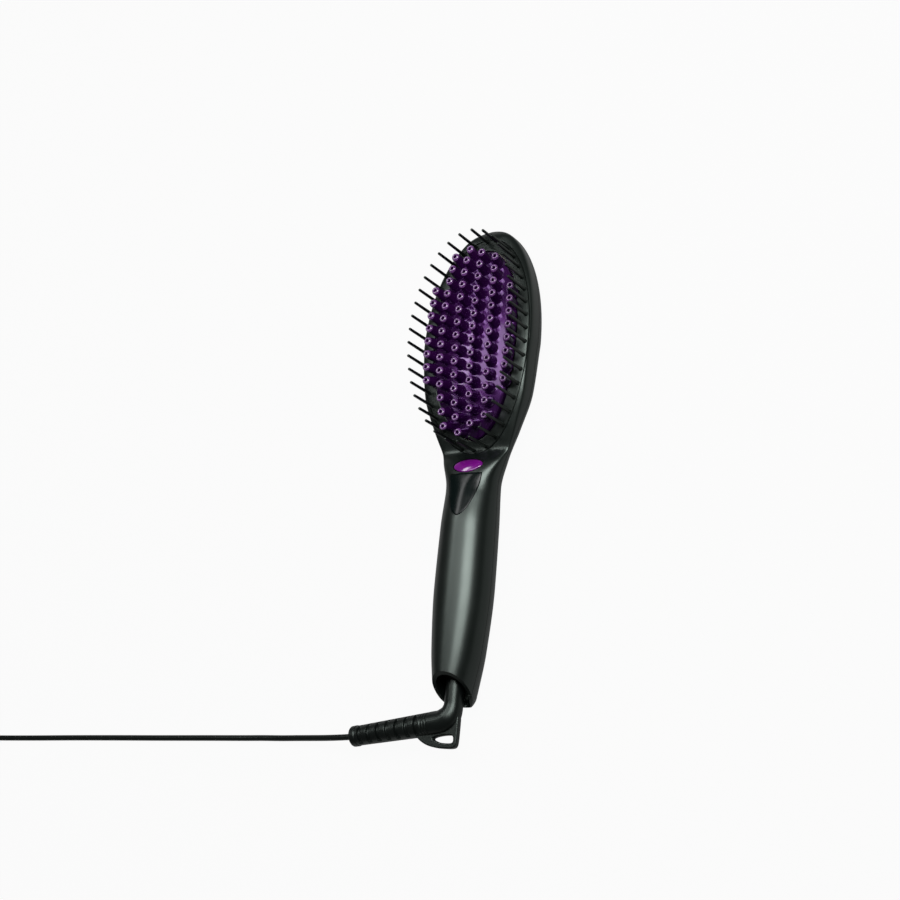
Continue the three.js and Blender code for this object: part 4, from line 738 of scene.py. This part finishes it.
def make_tie():
    """A soft band round the coil's turns."""
    low = COIL_LOW - CORD_RADIUS - GAP
    high = COIL_LOW + (COIL_LAYERS - 1) * COIL_LAYER + CORD_RADIUS + TIE_HEADROOM
    near = COIL_INNER - CORD_RADIUS - GAP
    far = COIL_OUTER + CORD_RADIUS + GAP
    middle = np.array([(near + far) / 2, (low + high) / 2])
    cos, sin = math.cos(TIE_ANGLE), math.sin(TIE_ANGLE)

    def loop(grow, along):
        a, b = rounded_outline(far - near + 2 * grow, high - low + 2 * grow, 14, 96)
        radius = middle[0] + a
        return np.stack([COIL_X + radius * cos - along * sin, COIL_Y + radius * sin + along * cos,
                         middle[1] + b], -1)

    half = TIE_WIDTH / 2
    soft = 0.2
    rows = [loop(0, -half + soft), loop(soft, -half), loop(TIE_THICK - soft, -half),
            loop(TIE_THICK, -half + soft), loop(TIE_THICK, half - soft), loop(TIE_THICK - soft, half),
            loop(soft, half), loop(0, half - soft)]
    tie = make_mesh("tie_band", [(rows, True)])
    return finish_piece(tie, "cord_swivel", "rubber", "cord_tie")


# Strain relief

def boot_radius(from_end, angle):
    """Radius of the boot: a slow taper, slots on the front and back only, and a collar at its end."""
    body = blend(BOOT_END_RADIUS, BOOT_ROOT_RADIUS, from_end / BOOT_RUN)
    place = (from_end - GROOVE_FROM_END) / GROOVE_PITCH
    nearest = np.clip(np.round(place), 0, GROOVE_COUNT - 1)
    slot = 1 - smooth((np.abs(place - nearest) - 0.15) / 0.09)
    fine = from_end - GROOVE_FROM_END - (GROOVE_COUNT - 1) * GROOVE_PITCH
    for extra in (3.4, 5.2, 7.0):
        slot = np.maximum(slot, 0.3 * (1 - smooth((np.abs(fine - extra) - 0.2) / 0.3)))
    reach = smooth((np.abs(np.cos(angle)) - 0.36) / 0.2)
    collar = 0.35 * (1 - smooth((from_end - 3.4) / 0.5))
    end_round = 0.5 * (1 - np.sqrt(np.clip(1 - (1 - np.clip(from_end / 0.5, 0, 1)) ** 2, 0, 1)))
    return body + collar - end_round - GROOVE_DEPTH * slot * reach


def make_boot():
    sides = 96
    angle = np.arange(sides) / sides * 2 * np.pi
    from_end = np.concatenate([np.linspace(SPLIT_FROM_END, 0.6, 300), np.linspace(0.5, 0.0, 8)])
    points = BOOT_END[None, :] - BOOT_AHEAD[None, :] * from_end[:, None]
    radii = [boot_radius(place, angle) for place in from_end]
    boot = make_mesh("ribbed_boot", [(swept(points, radii, sides), False)], sharp=50)
    return finish_piece(boot, "cord_swivel", "rubber", "strain_relief")


def bezier(a, b, c, d, count):
    t = np.linspace(0, 1, count)[:, None]
    return (1 - t) ** 3 * a + 3 * (1 - t) ** 2 * t * b + 3 * (1 - t) * t * t * c + t ** 3 * d


def make_elbow():
    """The stub in the swivel, the bend and the smooth root of the boot, as one tube."""
    stub = np.array([(0, y, HANDLE_AXIS) for y in np.linspace(STUB_LOW, ELBOW_Y, 14)[:-1]])
    bend = bezier(np.array([0, ELBOW_Y, HANDLE_AXIS]), np.array([0, ELBOW_Y - ELBOW_REACH, HANDLE_AXIS]),
                  BOOT_START - BOOT_AHEAD * 5.0, BOOT_START, 40)
    root = BOOT_START + BOOT_AHEAD * np.linspace(0.4, BOOT_RUN - SPLIT_FROM_END, 14)[:, None]
    points = np.vstack([stub, bend, root])
    share = np.concatenate([np.zeros(len(stub)), np.linspace(0, 1.75, len(bend)), np.full(len(root), 2.0)])
    radii = blend(SWIVEL_RADIUS, BOOT_ROOT_RADIUS, smooth(share))
    elbow = make_mesh("cord_elbow", [(swept(points, radii, 56), False)])
    return finish_piece(elbow, "cord_swivel", "rubber", "strain_relief")


def make_loop():
    """The flat hanging loop beside the elbow: a plate with soft edges and one hole."""
    data = bpy.data.curves.new("loop_outline", "CURVE")
    data.dimensions = "2D"
    data.fill_mode = "BOTH"
    data.extrude = (LOOP_THICK / 2 - LOOP_SOFT) * MM
    data.bevel_depth = LOOP_SOFT * MM
    data.bevel_resolution = 3
    data.offset = -LOOP_SOFT * MM
    for outline in (LOOP_OUTLINE, LOOP_HOLE):
        course = data.splines.new("NURBS")
        course.points.add(len(outline) - 1)
        for point, (x, y) in zip(course.points, outline):
            point.co = (x * MM, (BOOT_END[1] + y) * MM, 0.0, 1.0)
        course.use_cyclic_u = True
        course.order_u = 3
        course.resolution_u = 6
    flat = new_object("loop_outline", data)
    flat.location = (0, 0, HANDLE_AXIS * MM)
    bpy.context.view_layer.update()
    graph = bpy.context.evaluated_depsgraph_get()
    mesh = bpy.data.meshes.new_from_object(flat.evaluated_get(graph))
    mesh.transform(flat.matrix_world)
    bpy.data.objects.remove(flat)
    shade(mesh, 40)
    return finish_piece(new_object("hanging_loop", mesh), "cord_swivel", "rubber", "strain_relief")


# Housing shells

QUADRANT = 26


def quarter(power, wide, high):
    """Points of a quarter superellipse from its side to its top, closer where it turns."""
    angle = np.linspace(0, np.pi / 2, 240)
    c, s = np.cos(angle), np.sin(angle)
    reach = (c ** power + s ** power) ** (-1 / power)
    x, z = wide * c * reach, high * s * reach
    dx, dz = np.diff(x), np.diff(z)
    run = np.hypot(dx, dz)
    heading = np.unwrap(np.arctan2(dz, dx))
    turn = np.abs(np.gradient(heading))
    weight = run / run.sum() + 0.7 * turn / max(turn.sum(), 1e-9)
    measure = np.concatenate([[0], np.cumsum(weight)])
    pick = np.interp(np.linspace(0, measure[-1], QUADRANT + 1), measure, angle)
    c, s = np.cos(pick), np.sin(pick)
    reach = (c ** power + s ** power) ** (-1 / power)
    return wide * c * reach, high * s * reach


def section(y, inset):
    """Points round the housing's cross-section at y, all of it inset from the outside."""
    wide = max(0.3, float(half_width(y)) - inset)
    mid = float(seam_height(y, inset) if inset > 0 else widest_line(y))
    up = max(0.3, float(front_height(y)) - inset - mid)
    down = max(0.3, mid - float(back_height(y)) - inset)
    fx, fz = quarter(float(front_power(y)), wide, up)
    bx, bz = quarter(BACK_POWER, wide, down)
    x = np.concatenate([fx[:-1], -fx[:0:-1], -bx[:-1], bx[:0:-1]])
    z = np.concatenate([fz[:-1], fz[:0:-1], -bz[:-1], -bz[:0:-1]])
    return np.stack([x, np.full_like(x, y), mid + z], -1)


def stations(inset):
    """Places along the housing for its cross-sections, closer toward the tip."""
    low, high = BUTT_Y + inset, TIP_Y - inset
    bends = [low, low + END_ROUND, NECK_Y - 14, NECK_Y + 34, HEAD_Y + HEAD_TO_TIP * 0.5]
    counts = (10, 60, 60, 56)
    runs = [np.linspace(a, b, n, endpoint=False) for a, b, n in zip(bends, bends[1:], counts)]
    tip = blend(bends[4], high, np.sin(np.arange(41) / 40.25 * np.pi / 2))
    return np.concatenate([*runs, tip])


FAR = 90.0


def housing_body(name, inset):
    body = make_mesh(name, [([section(y, inset) for y in stations(inset)], False)], sharp=50)
    floor = WALL if inset > 0 else 0.0
    keep = make_mesh("keep", [(box_rows((-FAR, -2 * FAR, floor), (FAR, 2 * FAR, FAR)), False)])
    carve(body, keep, "INTERSECT", 50)
    return body


def seam_slab(name, shift, limit):
    """A solid across the housing between its seam, moved up by shift, and a level."""
    line = [(y, float(seam_height(y)) + shift) for y in stations(0)[::2]]
    line = [(BUTT_Y - 20, line[0][1]), *line, (TIP_Y + 20, line[-1][1])]
    rows = [[(-FAR, y, z), (FAR, y, z), (FAR, y, limit), (-FAR, y, limit)] for y, z in line]
    return make_mesh(name, [(rows, False)])


def mouth_slab():
    """A solid beyond the slanting cut at the handle's end."""
    front = np.array([BUTT_Y + MOUTH_FRONT, BUTT_FRONT + 1])
    back = np.array([BUTT_Y, MOUTH_BACK_HEIGHT])
    lean = (front - back) / (front[1] - back[1])
    top, low = front + lean * 20, back - lean * 20
    rows = [[(x, *top), (x, *low), (x, BUTT_Y - 60, low[1]), (x, BUTT_Y - 60, top[1])] for x in (-FAR, FAR)]
    return make_mesh("mouth", [(rows, False)])


def polar(outline, centre, shares, height):
    """Rows of points from near a centre out to an outline, on a height function."""
    outline = np.asarray(outline, float)
    centre = np.asarray(centre, float)
    rows = []
    for share in shares:
        plan = centre + share * (outline - centre)
        rows.append(np.stack([plan[:, 0], plan[:, 1], height(plan[:, 0], plan[:, 1])], -1))
    return rows


def sunk(drop):
    """A height function that lies by drop under the housing's front surface."""
    return lambda x, y: surface_height(x, y) - drop


def plan_prism(name, outline, centre, low, high):
    shares = (0.05, 0.25, 0.5, 0.75, 1.0)
    rows = polar(outline, centre, shares, low) + polar(outline, centre, shares[::-1], high)
    return make_mesh(name, [(rows, False)])


def level(height):
    return lambda x, y: np.full_like(np.asarray(x, float), height)


def oval_outline(inset, sides=200):
    x, y = ring_of(1.0, sides)
    return np.stack([(RING_HALF_WIDTH - inset) * x, RING_Y + (RING_HALF_LENGTH - inset) * y], -1)


def button_outline(grow, sides=96):
    """Two arcs that meet left and right in tight round ends."""
    half = BUTTON_WIDTH / 2 + grow
    angle = np.arange(sides) / sides * 2 * np.pi
    c, s = np.cos(angle), np.sin(angle)
    rise = np.where(s > 0, (BUTTON_RISE + grow) * np.abs(s), -(BUTTON_DIP + grow) * np.abs(s) ** 1.25)
    return np.stack([half * c, BUTTON_MIDDLE + rise], -1)


def inlay_outline(grow, step=0.5):
    top = INLAY_TOP + grow
    half = INLAY_WIDTH / 2 + grow
    low = top - INLAY_LENGTH - 2 * grow
    right = [(half, top), (half * 0.94, blend(top, low, 0.25)), (half * 0.79, blend(top, low, 0.51)),
             (half * 0.51, blend(top, low, 0.81)), (half * 0.24, blend(top, low, 0.95)), (0, low)]
    side = spline([(x, y, 0) for x, y in right], step)[:, :2]
    left = side[-2::-1] * [-1, 1]
    across = np.linspace(left[-1], side[0], 40)[1:-1]
    return np.vstack([side, left, across])


INLAY_CENTRE = (0.0, INLAY_TOP - INLAY_LENGTH * 0.35)
BUTTON_CENTRE = (0.0, BUTTON_MIDDLE)


def make_shells():
    outer = housing_body("outer", 0)
    inner = housing_body("inner", WALL)
    carve(outer, inner)
    bore = section(BUTT_Y + WALL, WALL)
    rows = [bore * [1, 0, 1] + [0, y, 0] for y in (BUTT_Y - 5, BUTT_Y + WALL + 1)]
    carve(outer, make_mesh("bore", [(rows, False)]))
    carve(outer, mouth_slab())
    rear = new_object("rear_housing", outer.data.copy())
    front = outer
    front.name = "front_housing"
    carve(rear, seam_slab("under", -GAP / 2, -FAR), "INTERSECT")
    carve(front, seam_slab("over", GAP / 2, FAR), "INTERSECT")
    carve(front, plan_prism("opening", oval_outline(-GAP), (0, RING_Y), level(HANDLE_AXIS - 4), level(FAR)))
    carve(front, plan_prism("key_hole", button_outline(RUNNING), BUTTON_CENTRE, level(10), level(FAR)))
    pocket = plan_prism("pocket", inlay_outline(GAP), INLAY_CENTRE, sunk(INLAY_THICK + GAP), level(FAR))
    carve(front, pocket)
    for y in (NECK_Y - UPPER_SCREW_FROM_NECK, BUTT_Y + LOWER_SCREW_FROM_BUTT):
        head, shank = SCREW_HEAD_RADIUS, SCREW_HOLE_RADIUS
        profile = [(head, -3.0), (head, SCREW_HEAD_DEPTH), (shank, SCREW_HEAD_DEPTH), (shank, 10.0)]
        hole = turned(profile, 40, (0, y, 0))
        carve(rear, make_mesh("screw_hole", [(hole, False)]))
    finish_piece(rear, "casing", "housing", "rear_shell")
    finish_piece(front, "casing", "housing", "front_shell")


def make_guard_ring():
    def row(inset, height):
        plan = oval_outline(inset, 320)
        return np.stack([plan[:, 0], plan[:, 1], height(plan[:, 0], plan[:, 1])], -1)

    def low(x, y):
        return crown(y) - RING_THICK

    band = [row(0, low), row(0, sunk(0.4)), row(0.1, sunk(0.14)), row(0.32, sunk(0))]
    band += [row(inset, sunk(0)) for inset in np.linspace(0.9, RING_BAND - 0.9, 8)]
    band += [row(RING_BAND - 0.32, sunk(0)), row(RING_BAND - 0.1, sunk(0.14)), row(RING_BAND, sunk(0.4)),
             row(RING_BAND, low)]
    parts = [(band, True)]
    boss = PIN_BOSS_RADIUS
    profile = [(boss, -1.2), (boss, 0.12), (boss - 0.12, 0.3), (PIN_ROOT_RADIUS + 0.1, 0.42),
               (PIN_ROOT_RADIUS, 0.7), (blend(PIN_ROOT_RADIUS, PIN_TIP_RADIUS, 0.5), PIN_LENGTH / 2),
               (PIN_TIP_RADIUS, PIN_LENGTH - 0.6), (PIN_TIP_RADIUS * 0.86, PIN_LENGTH - 0.25),
               (PIN_TIP_RADIUS * 0.5, PIN_LENGTH - 0.04), (0.08, PIN_LENGTH)]
    for x, y in pin_places():
        parts.append((turned(profile, 16, (x, y, float(surface_height(x, y)))), False))
    ring = make_mesh("pin_ring", parts, sharp=50)
    finish_piece(ring, "casing", "guard", *[f"guard_ring_{arc}" for arc in range(1, 7)])


def pin_places():
    """Equal steps along the pins' oval, one of them at the middle of the neck end."""
    angle = np.linspace(-np.pi / 2, 1.5 * np.pi, 4001)
    x = (RING_HALF_WIDTH - PIN_INSET) * np.cos(angle)
    y = RING_Y + (RING_HALF_LENGTH - PIN_INSET) * np.sin(angle)
    run = np.concatenate([[0], np.cumsum(np.hypot(np.diff(x), np.diff(y)))])
    at = np.arange(PIN_COUNT) / PIN_COUNT * run[-1]
    return list(zip(np.interp(at, run, x), np.interp(at, run, y)))


def stud_places():
    places = []
    reach = math.ceil(RING_HALF_LENGTH / STUD_ROW_PITCH)
    for column in range(STUD_COLUMNS):
        for row in range(-reach, reach + 1):
            along = STUD_SHIFT + (row + 0.5 * (column % 2)) * STUD_ROW_PITCH
            bow = 1 - STUD_BOW * (along / PLATE_HALF_LENGTH) ** 2
            x = (column - (STUD_COLUMNS - 1) / 2) * STUD_COLUMN_PITCH * bow
            reached = (abs(along) + STUD_MARGIN) / PLATE_HALF_LENGTH
            if (x / PLATE_HALF_WIDTH) ** 2 + reached ** 2 <= 1:
                places.append((x, RING_Y + along))
    return places


def make_plate():
    def row(share, height):
        x, y = ring_of(share, 240)
        x, y = x * PLATE_HALF_WIDTH, RING_Y + y * PLATE_HALF_LENGTH
        return np.stack([x, y, height(x, y)], -1)

    def under(drop):
        return lambda x, y: plate_top(x, y) - drop

    def skirt(x, y):
        return crown(y) - RING_THICK

    rows = [row(share, plate_top) for share in np.linspace(0.03, 1 - PLATE_EDGE, 38)]
    for turn in np.linspace(0, np.pi / 2, 10)[1:]:
        drop = PLATE_EDGE_DROP * (1 - math.cos(turn))
        rows.append(row(1 - PLATE_EDGE * (1 - math.sin(turn)), under(drop)))
    rows += [row(1.0, skirt), row(0.94, skirt)]
    rows += [row(share, under(PLATE_WALL)) for share in np.linspace(0.93, 0.03, 12)]
    plate = make_mesh("plate_dome", [(rows, False)])
    finish_piece(plate, "casing", "plate", "heater_plate")


def make_studs():
    """Hollow cones on the plate that lean a little outward, each with its rim painted paler as a painted
    highlight.
    """
    base, top, hole = STUD_BASE_RADIUS, STUD_TIP_RADIUS, STUD_HOLE_RADIUS
    crest = blend(hole, top, 0.3)
    profile = [
        (base + 0.7, -0.5), (base + 0.45, 0.05), (base + 0.12, 0.45), (base - 0.05, 1.1),
        (blend(base, top, 0.5), 4.4),
    ]
    # The faces from here over the crest to its inner side take the paler colour, a painted highlight
    highlight_from = len(profile) + 3
    for turn in np.linspace(0, np.pi / 2, 10):
        outward = (top - crest) * math.cos(turn)
        profile.append((crest + outward, STUD_HEIGHT - STUD_SHOULDER * (1 - math.sin(turn))))
    for turn in np.linspace(np.pi / 2, np.pi, 5)[1:]:
        inward = (crest - hole) * math.cos(turn)
        profile.append((crest + inward, STUD_HEIGHT - (crest - hole) * (1 - math.sin(turn))))
    highlight_to = len(profile) - 1
    profile.append((hole * 0.85, STUD_HEIGHT - STUD_HOLE_DEPTH))
    parts = []
    for x, y in stud_places():
        place = (x, y, float(plate_top(x, y)))
        lean = (x * (STUD_SPREAD_X - 1) / STUD_HEIGHT, (y - RING_Y) * (STUD_SPREAD_Y - 1) / STUD_HEIGHT)
        parts.append((turned(profile, STUD_SIDES, place, lean), False))
    studs = make_mesh("plate_studs", parts, sharp=60)
    finish_piece(studs, "casing", "plate", "heater_plate")
    # The rim's faces get the paler material, a painted highlight on each stud
    studs.data.materials.append(looks["stud_rim_highlight"])
    faces_per_stud = (len(profile) + 1) * STUD_SIDES
    for face in studs.data.polygons:
        band = face.index % faces_per_stud // STUD_SIDES
        face.material_index = int(highlight_from <= band < highlight_to)


def make_button():
    """The key: it follows the neck's slope, slightly domed and a little proud, with soft edges."""
    outline = button_outline(0)
    edge = ((0.94, 0.07), (0.97, 0.19), (0.99, 0.38), (1.0, 0.6))
    rows = []
    for share, drop in [(share, 0.0) for share in np.linspace(0.04, 0.9, 20)] + list(edge):
        height = sunk(BUTTON_BULGE * share ** 2 + drop - BUTTON_PROUD)
        rows += polar(outline, BUTTON_CENTRE, [share], height)
    rows += polar(outline, BUTTON_CENTRE, [1.0, 0.5, 0.05], sunk(BUTTON_DEPTH - BUTTON_PROUD))
    key = make_mesh("power_key", [(rows, False)], sharp=50)
    finish_piece(key, "key", "button", "power_button")


def make_inlay():
    outline = inlay_outline(0)
    rows = polar(outline, INLAY_CENTRE, np.linspace(0.04, 0.96, 24), sunk(0))
    rows += polar(outline, INLAY_CENTRE, [0.985], sunk(0.05))
    rows += polar(outline, INLAY_CENTRE, [1.0], sunk(0.25))
    rows += polar(outline, INLAY_CENTRE, [1.0, 0.5, 0.05], sunk(INLAY_THICK))
    panel = make_mesh("display_panel", [(rows, False)], sharp=50)
    finish_piece(panel, "casing", "inlay", "inlay_panel")


# Floor, lights and backdrop

def make_stage():
    corners = [(FLOOR_HALF * x, FLOOR_HALF * y, 0) for x, y in ((-1, -1), (1, -1), (1, 1), (-1, 1))]
    mesh = bpy.data.meshes.new("floor")
    mesh.from_pydata(corners, [], [(0, 1, 2, 3)])
    floor = new_object("floor", mesh)
    floor.location.z = -FLOOR_DROP
    material, nodes, links, shader = new_material("floor")
    shader.inputs["Base Color"].default_value = (FLOOR_GREY, FLOOR_GREY, FLOOR_GREY, 1)
    shader.inputs["Roughness"].default_value = 0.9
    shader.inputs["Specular IOR Level"].default_value = 0.0
    glow = nodes.new("ShaderNodeEmission")
    glow.inputs["Color"].default_value = (1, 1, 1, 1)
    glow.inputs["Strength"].default_value = 1.0
    mix = nodes.new("ShaderNodeMixShader")
    path = nodes.new("ShaderNodeLightPath")
    lift = None
    for ray, share in FLOOR_WHITE_SHARES.items():
        step = nodes.new("ShaderNodeMath")
        step.operation = "MULTIPLY_ADD"
        step.use_clamp = True
        step.inputs[1].default_value = share
        step.inputs[2].default_value = 0.0
        links.new(path.outputs[ray], step.inputs[0])
        if lift:
            links.new(lift, step.inputs[2])
        lift = step.outputs["Value"]
    links.new(lift, mix.inputs["Fac"])
    links.new(shader.outputs["BSDF"], mix.inputs[1])
    links.new(glow.outputs["Emission"], mix.inputs[2])
    links.new(mix.outputs["Shader"], nodes["Material Output"].inputs["Surface"])
    mesh.materials.append(material)


def area_light(name, place, size, power):
    """A rectangular lamp that shines straight down."""
    data = bpy.data.lights.new(name, "AREA")
    data.shape = "RECTANGLE"
    data.size, data.size_y = size
    data.energy = power
    lamp = new_object(name, data)
    lamp.location = place


def make_lights():
    world = bpy.data.worlds.new("world")
    bpy.context.scene.world = world
    world.use_nodes = True
    nodes, links = world.node_tree.nodes, world.node_tree.links
    light = nodes["Background"]
    light.inputs["Color"].default_value = (1, 1, 1, 1)
    light.inputs["Strength"].default_value = SKY_STRENGTH
    seen = nodes.new("ShaderNodeBackground")
    seen.inputs["Color"].default_value = (1, 1, 1, 1)
    seen.inputs["Strength"].default_value = 1.0
    path = nodes.new("ShaderNodeLightPath")
    mix = nodes.new("ShaderNodeMixShader")
    links.new(path.outputs["Is Camera Ray"], mix.inputs["Fac"])
    links.new(light.outputs["Background"], mix.inputs[1])
    links.new(seen.outputs["Background"], mix.inputs[2])
    links.new(mix.outputs["Shader"], nodes["World Output"].inputs["Surface"])
    for name, place, size, power in LAMPS:
        area_light(name, place, size, power)


make_camera()
mains_cord, cord_points = make_cord()
boot = make_boot()
elbow = make_elbow()
loop = make_loop()
plug_pieces = make_plug(cord_points)
tie = make_tie()
paint_frame()
make_shells()
make_guard_ring()
make_plate()
make_studs()
make_button()
make_inlay()
make_stage()
make_lights()
bpy.context.scene.view_settings.view_transform = "Standard"
